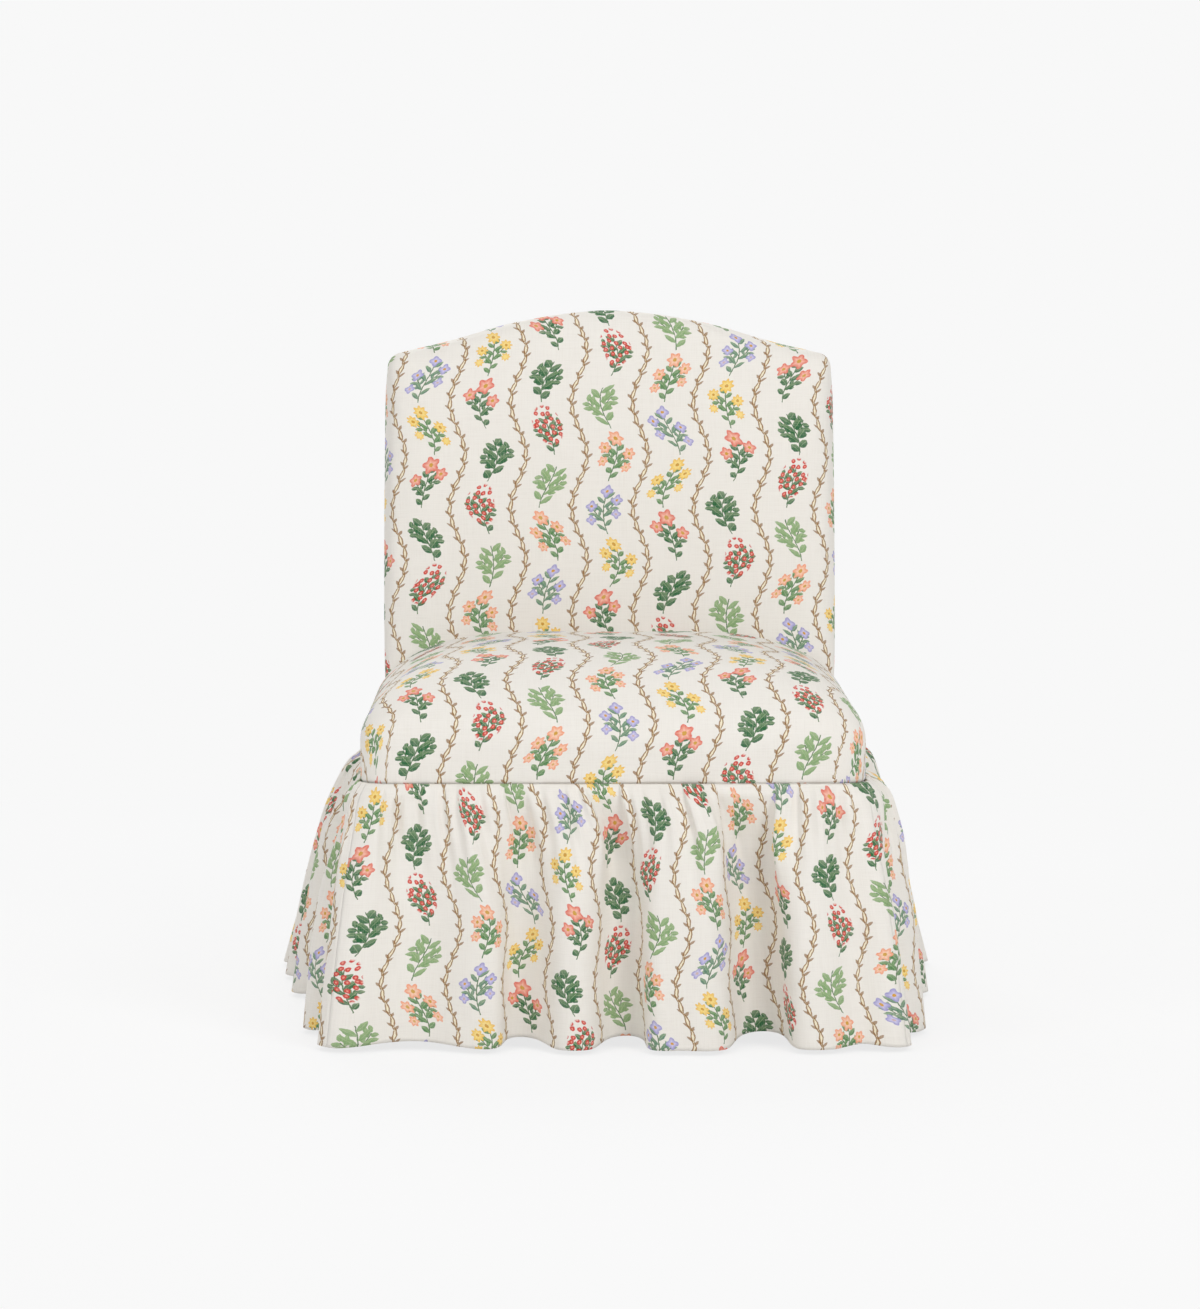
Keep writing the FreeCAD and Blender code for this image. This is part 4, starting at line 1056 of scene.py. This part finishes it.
@dataclass(frozen=True)
class TightCover:
    """A linen cover that its padding swells, with the batting under it."""

    linen: str
    linen_node: str
    batting: str
    batting_node: str
    flat: Pair
    swell: float
    held_run: float = 30 * MM
    pressure: float = 1.6
    frames: int = 18
    wall: float = 1.5 * MM
    batting_depth: float = 2 * MM
    batting_wall: float = 5.5 * MM

    def upholster(self, cover: bpy.types.Object, *depths: np.ndarray) -> None:
        """Swells the cover, opens it and lays the batting under it.

        Args:
            cover: The cover.
            depths: How far each point is past each line where the cover is held.
        """
        self.swell_out(cover, np.clip(np.max(depths, axis=0) / self.held_run, 0, 1))
        open_well(cover)
        batting = self.under_layer(cover)
        add_wall(cover, self.wall)
        finish_piece(cover, Finish.PRINT_LINEN, self.linen_node)
        finish_piece(batting, Finish.BATTING, self.batting_node)

    def swell_out(self, cover: bpy.types.Object, held: np.ndarray) -> None:
        """Lets the padding push the cover out, with each point's way limited by swell.

        Args:
            cover: The cover.
            held: How firmly each point is held, from 0 to 1.
        """
        start = coordinates(cover.data)
        group = cover.vertex_groups.new(name="held")
        for index, weight in enumerate(held):
            group.add([index], float(weight), "REPLACE")
        cloth = cover.modifiers.new("cloth", "CLOTH")
        settings = cloth.settings
        settings.quality = 5
        settings.mass = 0.3
        settings.tension_stiffness = 20
        settings.compression_stiffness = 20
        settings.shear_stiffness = 10
        settings.bending_stiffness = 4
        settings.use_pressure = True
        settings.uniform_pressure_force = self.pressure
        settings.vertex_group_mass = group.name
        settings.effector_weights.gravity = 0.0
        scene = bpy.context.scene
        for number in range(1, self.frames + 1):
            scene.frame_set(number)
        shown = cover.evaluated_get(bpy.context.evaluated_depsgraph_get()).to_mesh()
        moved = coordinates(shown) - start
        far = np.linalg.norm(moved, axis=1, keepdims=True)
        share = self.swell * np.tanh(far / self.swell) / np.maximum(far, 1e-9)
        cover.modifiers.remove(cloth)
        cover.vertex_groups.clear()
        cover.data.vertices.foreach_set("co", (start + moved * share).ravel())
        cover.data.update()
        scene.frame_set(1)
        LOG.info("%s: swelled by up to %.1f mm", cover.name, 1000 * float((far * share).max()))

    def under_layer(self, cover: bpy.types.Object) -> bpy.types.Object:
        """Makes the batting, which follows the cover from inside.

        Args:
            cover: The cover.

        Returns:
            The batting.
        """
        layer = bpy.data.objects.new(self.batting, cover.data.copy())
        bpy.context.scene.collection.objects.link(layer)
        normals = np.array([v.normal for v in layer.data.vertices])
        sunk = coordinates(layer.data) - normals * self.batting_depth
        layer.data.vertices.foreach_set("co", sunk.ravel())
        layer.data.update()
        add_wall(layer, self.batting_wall)
        return layer


# The chair's soft pieces


@dataclass
class TightSeat:
    """The tight seat's cover and batting, crowned in the middle."""

    half_width: float = SEAT_HALF_WIDTH
    front: float = SEAT_FRONT
    edge_height: float = 366 * MM
    crown_height: float = 469 * MM
    corner_radius: float = 40 * MM
    rear_radius: float = 5 * MM
    runs: Triple = (200 * MM, 230 * MM, 110 * MM)
    powers: Triple = (2.0, 2.2, 3.0)
    crown_rings: int = 26
    crown_turn: float = 86.5
    columns: int = 140
    rows: int = 120
    gap: float = 6 * MM
    low_gap: float = 1.2 * MM
    gap_from: float = 335 * MM
    gap_run: float = 22 * MM
    held_below: float = 20 * MM
    held_behind: float = 130 * MM
    cover: TightCover = TightCover(
        linen="seat_cover_linen",
        linen_node="seat_cover",
        batting="seat_batting_layer",
        batting_node="seat_batting",
        flat=(0.84, 0.70),
        swell=4 * MM,
    )

    def rear(self, height: float) -> float:
        """Where the seat meets the back's face.

        Args:
            height: The height above the floor.

        Returns:
            Its place from front to rear.
        """
        clear = self.low_gap + (self.gap - self.low_gap) * between(height, self.gap_from, self.gap_run)
        return HINGE_Y + (height - HINGE_Z) * math.tan(RAKE) - clear / math.cos(RAKE)

    def ring(self, inset: float, step: float, height: float) -> Ring:
        """One outline of the seat.

        Args:
            inset: How far it is drawn in.
            step: How far up the crown it is, from 0 to 1.
            height: Its height above the floor.

        Returns:
            The ring.
        """
        side, front, rear = (
            run * (1 - (1 - step**power) ** (1 / power)) for run, power in zip(self.runs, self.powers)
        )
        half = self.half_width - inset - side
        radii = (self.corner_radius - inset + 0.5 * side, self.rear_radius + 0.3 * rear)
        near, far = self.front + inset + front, self.rear(height) - rear
        return rounded_box_ring((half, half), near, far, radii, height)

    def rings(self) -> list[Ring]:
        """The seat's outlines from its lower edge to its crown."""
        tucked = [(2.6, 301), (2.6, 309), (2.5, 315), (1.6, 317.0), (0.4, 318.6), (0.0, 321)]
        plain = [(0.0, height) for height in (329, 338, 348, 357)]
        wall = [self.ring(inset * MM, 0.0, height * MM) for inset, height in tucked + plain]
        rise = self.crown_height - self.edge_height
        steps = [math.sin(turn) for turn in np.radians(np.linspace(0, self.crown_turn, self.crown_rings))]
        return wall + [self.ring(0.0, step, self.edge_height + rise * step) for step in steps]

    def build(self) -> None:
        """Makes the cover and the batting under it."""
        linen = Shell(self.rings(), self.columns, self.rows).build(self.cover.linen, Vector)
        points = coordinates(linen.data)
        below = self.edge_height - self.held_below - points[:, 2]
        self.cover.upholster(linen, below, points[:, 1] - self.held_behind)


@dataclass
class RakedBack:
    """The inside and outside of the raked back with its arched top."""

    half_width: float = 293.75 * MM
    top_height: float = 881.2 * MM
    crest_half_run: float = 146 * MM
    crest_angle: float = math.radians(17.7)
    flank_radius: float = 1265 * MM
    shoulder_radius: float = 20 * MM
    least_radius: float = 8 * MM
    edge_radius: float = 20 * MM
    foot_radius: float = 4 * MM
    crown: float = 5 * MM
    crown_run: float = 110 * MM
    bottom: float = -150 * MM
    columns: int = 140
    rows: int = 150
    held_rear: float = 70 * MM
    held_low: float = 400 * MM
    panel_rise: float = 13 * MM
    panel_wall: float = 1.1 * MM
    panel_grid: int = 110
    cover: TightCover = TightCover(
        linen="inside_back_linen",
        linen_node="inside_back_cover",
        batting="inside_back_batting",
        batting_node="back_batting",
        flat=(0.82, 0.80),
        swell=3.5 * MM,
    )

    def to_world(self, place: Triple) -> Vector:
        """Stands a point of the back up on the rake.

        Args:
            place: Across, up the rake, and out of the face.

        Returns:
            The point in the chair's frame.
        """
        u, v, w = place
        sine, cosine = math.sin(RAKE), math.cos(RAKE)
        return Vector((u, HINGE_Y + v * sine - w * cosine, HINGE_Z + v * cosine + w * sine))

    def outline(self, inset: float, lift: float, bottom: float) -> Ring:
        """The arched outline, drawn in.

        Args:
            inset: How far it is drawn in.
            lift: How far it lies out of the face.
            bottom: Where its lower edge is, up the rake.

        Returns:
            The ring.
        """
        rise = (self.top_height - HINGE_Z + self.edge_radius * math.sin(RAKE)) / math.cos(RAKE)
        crest_radius = self.crest_half_run / math.sin(self.crest_angle)
        low = np.array([0.0, rise - crest_radius])
        way = np.array([math.sin(self.crest_angle), math.cos(self.crest_angle)])
        high = low + (crest_radius + self.flank_radius) * way
        radius = max(
            self.shoulder_radius - 0.6 * inset,
            self.least_radius + 0.3 * max(inset - self.edge_radius, 0.0),
        )
        half = self.half_width - inset
        flank_radius = self.flank_radius + inset
        centre_x = half - radius
        centre_y = high[1] - math.sqrt((flank_radius + radius) ** 2 - (high[0] - centre_x) ** 2)
        turn = math.degrees(math.atan2(high[1] - centre_y, high[0] - centre_x))
        shoulder = arc_points((centre_x, centre_y), radius, 0, turn)
        tilt = 90 - math.degrees(self.crest_angle)
        points, inward = arc_points(tuple(high), flank_radius, turn + 180, tilt + 180, 12)
        flank = (points, -inward)
        crest = arc_points(tuple(low), crest_radius - inset, tilt, 180 - tilt, 40)
        foot = self.foot_radius
        corners = [
            arc_points((-half + foot, bottom + foot), foot, 180, 270),
            arc_points((half - foot, bottom + foot), foot, 270, 360),
            shoulder,
            mirrored(shoulder),
        ]
        return Ring(four_sides(corners, joined([flank, crest, mirrored(flank)])), lift)

    def rings(self) -> list[Ring]:
        """The outlines from the rear edge round to the crown of the face."""
        turned = [(15.0, -104.6), (6.0, -104.8), (1.6, -104.2), (0.4, -102.6)]
        wall = [(0.0, lift) for lift in (-99.5, -92, -82, -70, -58, -46, -36, -28)]
        rings = [self.outline(inset * MM, lift * MM, self.bottom) for inset, lift in turned + wall]
        for turn in np.radians(np.linspace(0, 90, 9)):
            inset = self.edge_radius * (1 - math.cos(turn))
            rings.append(self.outline(inset, -self.edge_radius * (1 - math.sin(turn)), self.bottom))
        for share in np.linspace(0.1, 1, 9):
            inset = self.edge_radius + share * (self.crown_run - self.edge_radius)
            lift = self.crown * (1 - (1 - share) ** 2)
            rings.append(self.outline(inset, lift, self.bottom + 0.4 * (inset - self.edge_radius)))
        return rings

    def build_inside(self) -> None:
        """Makes the inside cover and its batting."""
        linen = Shell(self.rings(), self.columns, self.rows).build(self.cover.linen, self.to_world)
        points = coordinates(linen.data)
        lean = (points[:, 2] - HINGE_Z) * math.tan(RAKE)
        depth = (points[:, 1] - HINGE_Y - lean) * math.cos(RAKE)
        self.cover.upholster(linen, depth - self.held_rear, self.held_low - points[:, 2])

    def build_outside(self) -> None:
        """Makes the outside back panel with its turned edge."""
        foot = self.bottom + self.panel_rise
        turned = [(9.0, 105.6), (3.2, 105.9), (1.9, 106.5), (1.9, 107.0)]
        flat = [(2.6, 107.5), (4.5, 107.8), (12.0, 108.3), (30.0, 108.9)]
        rings = [self.outline(inset * MM, behind * MM, foot) for inset, behind in turned + flat]

        def facing_rear(place: Triple) -> Vector:
            """Turns a point of the panel to face the rear."""
            u, v, w = place
            return self.to_world((-u, v, -w))

        panel = Shell(rings, self.panel_grid, self.panel_grid).build("outside_back_linen", facing_rear)
        add_wall(panel, self.panel_wall)
        finish_piece(panel, Finish.PRINT_LINEN, "outside_back_panel")


@dataclass(frozen=True)
class Fold:
    """Half a fold of the skirt, from one crest or hollow to the next."""

    run: float
    sweep: float


@dataclass(frozen=True)
class SkirtSide:
    """One side of the skirt, with its folds from corner to corner."""

    name: str
    node: str
    side: int
    folds: tuple[Fold, ...]
    seed: int
    starts_low: bool = False


def folds(*pairs: Pair) -> tuple[Fold, ...]:
    """Folds from pairs of a run in millimetres and a sweep in degrees."""
    return tuple(Fold(run * MM, math.radians(sweep)) for run, sweep in pairs)


@dataclass
class GatheredSkirt:
    """The gathered skirt, one sheet of cloth for each side of the chair."""

    # The line of the seam, and how far the hem stands out of it
    seam_height: float = SEAM_HEIGHT
    hem_height: float = 6 * MM
    half_width: float = SEAT_HALF_WIDTH
    front: float = SEAT_FRONT
    rear: float = 272 * MM
    stand_off: float = 4.2 * MM
    flare_front: float = 51 * MM
    flare_rear: float = 68 * MM
    flare_near: float = 37 * MM
    flare_far: float = 98 * MM
    flare_power: float = 0.66
    # How the sides are moved across and drawn in, and how the corners are rounded
    near_shift: float = 4 * MM
    far_shift: float = -4 * MM
    waist: float = 19 * MM
    seam_radius: float = 42 * MM
    hem_radii: Pair = (46 * MM, 28 * MM)
    corner_crests: tuple[float, ...] = (22 * MM, 22 * MM, 32 * MM, 32 * MM)
    corner_spread: float = 38 * MM
    # The cloth and its grid
    cut_height: float = 322 * MM
    wall: float = 1.2 * MM
    rows: int = 76
    thread: float = 3.4 * MM
    # The top edge, which rolls under the seam and is drawn in beside the back
    top_roll: tuple[Pair, ...] = ((3.5 * MM, 1.5 * MM), (1.4 * MM, 1.7 * MM), (0.3 * MM, 1.2 * MM))
    ledge: float = 10.5 * MM
    ledge_from: Pair = (158 * MM, 6 * MM)
    ledge_to: Pair = (-252 * MM, 20 * MM)
    seam_swing: float = 0.4
    seam_end: float = 0.05
    puff: float = 2.6 * MM
    puff_place: Pair = (0.07, 0.06)
    # The gathers between the main folds, which fade towards the hem
    middle_sweep: float = math.radians(44)
    middle_place: Pair = (0.14, 0.24)
    middle_pitch: float = 71 * MM
    fine_sweep: float = math.radians(74)
    fine_pitch: float = 23.5 * MM
    gathers_end: float = 0.42
    # How far the hem rises in a hollow, and how far the cloth may swing inwards
    crest: float = 20 * MM
    hollow_rise: float = 0.17
    strip_clearance: float = 1.5 * MM
    strip_end: float = 0.035
    inward_slope: float = 0.17
    softness: float = 1.2 * MM
    sides: tuple[SkirtSide, ...] = (
        SkirtSide(
            "skirt_front_linen", "skirt_front", 0,
            folds(
                (12, 6), (26, 10), (56, 12), (86, 26), (40, 78), (64, 60), (66, 68), (42, 84),
                (22, 10), (26, 10), (76, 75), (54, 80), (104, 42),
            ),
            11,
        ),
        SkirtSide(
            "skirt_left_linen", "skirt_left", 1,
            folds((128, 42), (74, 54), (65, 54), (67, 55), (79, 57), (74, 58), (71, 56), (64, 55), (60, 54)),
            23, True,
        ),
        SkirtSide(
            "skirt_rear_linen", "skirt_rear", 2,
            folds(
                (66, 54), (67, 56), (74, 58), (81, 60), (67, 54), (64, 52),
                (77, 58), (74, 60), (70, 56), (74, 57), (67, 55), (63, 54),
            ),
            37,
        ),
        SkirtSide(
            "skirt_right_linen", "skirt_right", 3,
            folds(
                (58, 58), (64, 64), (71, 62), (75, 60), (78, 58),
                (68, 54), (64, 50), (75, 56), (71, 58), (62, 56),
            ),
            41,
        ),
    )

    def base(self, drop: float) -> Ring:
        """The line that the folds swing about at one height.

        Args:
            drop: How far down from seam to hem, from 0 to 1.

        Returns:
            The ring.
        """
        flare = drop**self.flare_power
        half = self.half_width + self.stand_off
        halves = tuple(half + flare * out for out in (self.flare_near, self.flare_far))
        front = self.front - self.stand_off - flare * self.flare_front
        rear = self.rear + self.stand_off + flare * self.flare_rear
        radii = tuple(self.seam_radius + (hem - self.seam_radius) * flare for hem in self.hem_radii)
        ring = rounded_box_ring(halves, front, rear, radii, 0.0)
        for points, _ in ring.sides:
            share = (points[:, 1] - front) / (rear - front)
            points[:, 0] += flare * (self.near_shift + (self.far_shift - self.near_shift) * share)
            points[:, 0] *= 1 - flare * self.waist / self.half_width * np.sin(np.pi * share)
        return Ring(ring.sides, 0.0)

    @staticmethod
    def mean_cosine(sweep: float) -> float:
        """How much shorter a wave of that sweep makes the cloth."""
        turns = np.linspace(0, math.pi, 60)
        return float(np.cos(sweep * np.sin(turns)).mean())

    def headings(
        self, side: SkirtSide, drop: float, flat: np.ndarray, lengths: np.ndarray, need: float
    ) -> np.ndarray:
        """The direction of the cloth's line at one height.

        Args:
            side: Which side.
            drop: How far down, from 0 to 1.
            flat: Places along the flat cloth.
            lengths: The flat length of each half fold.
            need: The line's run over its flat length.

        Returns:
            The heading at each place.
        """
        dice = np.random.default_rng(side.seed)
        ends = np.concatenate([[0.0], np.cumsum(lengths)])
        phase = np.interp(flat, ends, np.arange(len(ends)))
        start = -1.0 if side.starts_low else 1.0
        growth = 1 - 0.88 * (1 - drop) ** 4
        sweeps = np.array([fold.sweep for fold in side.folds])
        sweep = sweeps[np.clip(phase.astype(int), 0, len(sweeps) - 1)] * growth
        big = -start * sweep * np.sin(np.pi * phase)
        total = ends[-1]

        def wave(turns: int) -> np.ndarray:
            """A wave with that many turns along the cloth, started at random."""
            return 2 * np.pi * (turns * flat / total + dice.random())

        wander = sum(dice.uniform(0.4, 1.0) * np.sin(wave(turns)) for turns in (3, 5, 8, 13))
        middle_sweep = self.middle_sweep * hump(drop, *self.middle_place)
        swell = 0.75 + 0.35 * np.sin(wave(5) + 2.5 * drop)
        middle = middle_sweep * swell * np.sin(2 * np.pi * flat / self.middle_pitch + 1.3 * wander)
        shrunk = [self.mean_cosine(fold.sweep * growth) for fold in side.folds]
        kept = sum(length * share for length, share in zip(lengths, shrunk))
        left = need / (kept / total * self.mean_cosine(middle_sweep))
        most = self.fine_sweep * max(0.0, 1 - drop / self.gathers_end) ** 1.2
        fine_sweep = 0.0
        while fine_sweep < most and self.mean_cosine(fine_sweep) > left:
            fine_sweep += 0.01
        uneven = 0.8 + 0.3 * np.sin(wave(9))
        fine = fine_sweep * uneven * np.sin(2 * np.pi * flat / self.fine_pitch + 1.1 * wander)
        return big + middle + fine

    def rows_of(self, side: SkirtSide) -> tuple[np.ndarray, np.ndarray, np.ndarray]:
        """Places on the base line and distances from it, for every grid point.

        Args:
            side: Which side.

        Returns:
            Shares along the base line, distances out of it, and flat places.
        """
        lengths = np.array([fold.run / self.mean_cosine(fold.sweep) for fold in side.folds])
        hem = self.side_length(1.0, side.side)
        lengths *= hem / sum(fold.run for fold in side.folds)
        columns = int(round(lengths.sum() / self.thread))
        flat = np.linspace(0, lengths.sum(), columns + 1)
        shares = np.empty((self.rows + 1, columns + 1))
        outs = np.empty_like(shares)
        for row, drop in enumerate(self.drops()):
            run = self.side_length(drop, side.side)
            heading = self.headings(side, drop, flat, lengths, run / flat[-1])
            step = flat[1] - flat[0]
            middle = (heading[1:] + heading[:-1]) / 2
            along = np.concatenate([[0.0], np.cumsum(np.cos(middle) * step)])
            out = np.concatenate([[0.0], np.cumsum(np.sin(middle) * step)])
            out -= np.polyval(np.polyfit(flat, out, 1), flat)
            for corner, from_end in ((side.side, flat), (side.side + 1, flat[-1] - flat)):
                crest = self.corner_crests[corner % 4] * drop**self.flare_power
                out += (crest - out) * np.exp(-((from_end / self.corner_spread) ** 2))
            shares[row] = along / along[-1]
            swing = self.seam_swing + (1 - self.seam_swing) * min(1.0, drop / self.seam_end)
            outs[row] = self.clear_of_frame(out * swing + self.puff * hump(drop, *self.puff_place), drop)
        return shares, outs, flat

    def clear_of_frame(self, out: np.ndarray, drop: float) -> np.ndarray:
        """Keeps the cloth outside the strips and the frame behind it.

        Args:
            out: Distances out of the base line.
            drop: How far down they are.

        Returns:
            The distances, softly held above the least one.
        """
        least = -self.strip_clearance - self.inward_slope * max(0.0, drop - self.strip_end)
        return least + self.softness * np.logaddexp(0.0, (out - least) / self.softness)

    def drops(self) -> np.ndarray:
        """How far down each row lies, from 0 at the seam to 1 at the hem."""
        return np.linspace(0, 1, self.rows + 1) ** 1.2

    def side_length(self, drop: float, side: int) -> float:
        """The length of one side's base line that far down."""
        return float(steps_of(self.base(drop).sides[side][0]).sum())

    def build_side(self, side: SkirtSide, start: float) -> float:
        """Makes one side's sheet of cloth.

        Args:
            side: Which side.
            start: Where its cut starts along the whole strip.

        Returns:
            Where its cut ends.
        """
        shares, outs, flat = self.rows_of(side)
        drops = self.drops()
        bases = [self.base(drop) for drop in drops]
        columns = len(flat) - 1
        fall = self.seam_height - self.hem_height

        def put(i: int, j: int) -> tuple[Vector, Pair]:
            """A grid point's place and its cloth place."""
            row = self.rows - j
            drop = drops[row]
            x, y, nx, ny = bases[row].at(side.side, shares[row, i])
            out = outs[row, i]
            height = self.seam_height - fall * drop
            if row < len(self.top_roll):
                inward, upward = self.top_roll[row]
                out, height = out * 0.5 - inward, height + upward
            if row == 0:
                beside = between(y, *self.ledge_from) * between(-y, *self.ledge_to)
                out -= self.ledge * beside
            height += self.hollow_rise * max(0.0, self.crest - out) * drop**2
            return Vector((x + nx * out, y + ny * out, height)), (start + flat[i], -self.cut_height * drop)

        sheet = cloth_grid(side.name, columns, self.rows, put)
        face_outwards(sheet)
        add_wall(sheet, self.wall)
        finish_piece(sheet, Finish.PRINT_LINEN, side.node)
        return start + flat[-1]

    def build(self) -> None:
        """Makes the four sheets, one after the other along the strip."""
        place = -0.5
        for side in self.sides:
            place = self.build_side(side, place)


# The pieces carried over from the construction


@dataclass(frozen=True)
class CarriedParts:
    """The CAD nodes that show as they are, each with its finish."""

    finishes: tuple[tuple[Finish, tuple[str, ...]], ...] = (
        (Finish.DARK_LEG_WOOD, ("leg_front", "leg_rear")),
        (Finish.NYLON, ("glide_",)),
        (
            Finish.ZINC_STEEL,
            ("back_bolt", "leg_hanger_bolts", "leg_tnuts", "corner_block_screws", "dust_cover_staples"),
        ),
        (Finish.SPRING_STEEL, ("seat_spring", "spring_", "tie_wire")),
        (
            Finish.FRAME_HARDWOOD,
            ("seat_front_rail", "seat_rear_rail", "seat_side_rail", "back_post", "back_top_rail")
            + ("back_cross_rail", "corner_block", "frame_dowels"),
        ),
        (Finish.FOAM, ("seat_foam", "back_foam")),
        (Finish.BATTING, ("outside_back_batting",)),
        (Finish.JUTE, ("back_burlap", "back_upright_webbing", "back_cross_webbing")),
        (Finish.CARD, ("back_tack_strips", "skirt_tack_strips")),
        (Finish.DUST_CLOTH, ("dust_cover",)),
        (Finish.DECK_CLOTH, ("seat_deck_cloth",)),
    )

    def finish_of(self, node: str) -> Finish:
        """The first finish that a node's name fits, or print linen."""
        fitting = (finish for finish, starts in self.finishes if node.startswith(starts))
        return next(fitting, Finish.PRINT_LINEN)

    def dress(self) -> None:
        """Gives every node that shows its material."""
        for name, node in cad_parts.items():
            if node.hide_render:
                continue
            finish = self.finish_of(name)
            node.data.materials.clear()
            node.data.materials.append(material_of(finish))
            LOG.info("%s: %s", name, finish.slot)


# The studio


@dataclass(frozen=True)
class Lamp:
    """A soft square lamp, with its side in metres and its power in watts."""

    name: str
    place: Triple
    size: float
    power: float

    def build(self, aim: Vector) -> None:
        """Makes the lamp.

        Args:
            aim: The point that it shines at.
        """
        data = bpy.data.lights.new(self.name, "AREA")
        data.size = self.size
        data.energy = self.power
        lamp = bpy.data.objects.new(self.name, data)
        lamp.location = self.place
        lamp.rotation_euler = (aim - Vector(self.place)).to_track_quat("-Z", "Y").to_euler()
        bpy.context.scene.collection.objects.link(lamp)


@dataclass
class Studio:
    """The floor, the lights, the world and the camera."""

    white: tuple[float, ...] = (1.0, 1.0, 1.0, 1.0)
    paper: tuple[float, ...] = (*srgb(248, 248, 248), 1.0)
    matt: tuple[float, ...] = (0.9, 0.9, 0.9, 1.0)
    near_glow: float = 0.972
    near_share: float = 0.8
    far_from: Pair = (0.8, 2.4)
    sky_light: float = 0.46
    floor_radius: float = 6.0
    aim_height: float = 0.45
    lamps: tuple[Lamp, ...] = (
        Lamp("key_lamp", (2.3, -3.4, 2.8), 1.6, 70.0),
        Lamp("fill_lamp", (-3.1, -3.1, 2.2), 2.6, 40.0),
        Lamp("overhead_lamp", (0.0, -0.7, 3.4), 2.6, 10.0),
        Lamp("rear_lamp", (-0.6, 3.6, 3.0), 3.0, 78.0),
    )
    lens: float = 126.15
    sensor: float = 36.0
    eye: Triple = (-0.0532, -5.796, 0.9463)
    pitch: float = math.radians(4.912)
    yaw: float = math.radians(0.386)

    def build(self) -> None:
        """Sets the whole studio up."""
        self.make_world()
        self.make_floor()
        for lamp in self.lamps:
            lamp.build(Vector((0, 0, self.aim_height)))
        self.make_camera()
        bpy.context.scene.view_settings.view_transform = "Standard"

    def seen_rays(self, sh: Shader) -> Wire:
        """Whether a ray comes from the camera, a gloss or clear glass.

        Args:
            sh: The shader.

        Returns:
            1 where it does.
        """
        node = sh.node("ShaderNodeLightPath")
        names = ("Is Camera Ray", "Is Glossy Ray", "Is Transmission Ray")
        rays = [Wire(sh, node.outputs[name]) for name in names]
        return rays[0].math("MAXIMUM", rays[1]).math("MAXIMUM", rays[2])

    def make_world(self) -> None:
        """Makes the pale world."""
        world = bpy.data.worlds.new("studio_world")
        bpy.context.scene.world = world
        sh = Shader(world)
        paper = sh.add("ShaderNodeBackground", None, {0: self.paper, 1: 1.0})
        light = sh.add("ShaderNodeBackground", None, {0: self.white, 1: self.sky_light})
        mixed = sh.add("ShaderNodeMixShader", None, {0: self.seen_rays(sh), 1: light, 2: paper})
        sh.node("ShaderNodeOutputWorld", None, {0: mixed})

    def make_floor(self) -> None:
        """Makes the pale floor."""
        bm = bmesh.new()
        bmesh.ops.create_circle(bm, cap_ends=True, segments=96, radius=self.floor_radius)
        floor = to_object(bm, "studio_floor")
        sh = Shader.named("studio_paper")
        seen = self.seen_rays(sh)
        place = sh.object_coordinates()
        far = sh.add("ShaderNodeVectorMath", {"operation": "LENGTH"}, {0: place}, "Value")
        near = sh.add("ShaderNodeEmission", None, {0: self.white, 1: self.near_glow})
        paper = sh.add("ShaderNodeEmission", None, {0: self.paper, 1: 1.0})
        matt = sh.add("ShaderNodeBsdfDiffuse", None, {0: self.matt})
        ground = sh.add("ShaderNodeMixShader", None, {0: seen * self.near_share, 1: matt, 2: near})
        mixed = sh.add("ShaderNodeMixShader", None, {0: seen * far.step(*self.far_from), 1: ground, 2: paper})
        sh.node("ShaderNodeOutputMaterial", None, {0: mixed})
        floor.data.materials.append(sh.owner)

    def make_camera(self) -> None:
        """Makes the camera at the eye's place."""
        data = bpy.data.cameras.new("eye")
        data.lens = self.lens
        data.sensor_width = self.sensor
        camera = bpy.data.objects.new("eye", data)
        camera.location = self.eye
        camera.rotation_euler = (math.pi / 2 - self.pitch, 0.0, -self.yaw)
        bpy.context.scene.collection.objects.link(camera)
        bpy.context.scene.camera = camera


def main() -> None:
    """Builds the studio and the chair."""
    logging.basicConfig(level=logging.INFO, format="%(message)s")
    Studio().build()
    TightSeat().build()
    back = RakedBack()
    back.build_inside()
    back.build_outside()
    GatheredSkirt().build()
    CarriedParts().dress()


if __name__ == "__main__":
    main()
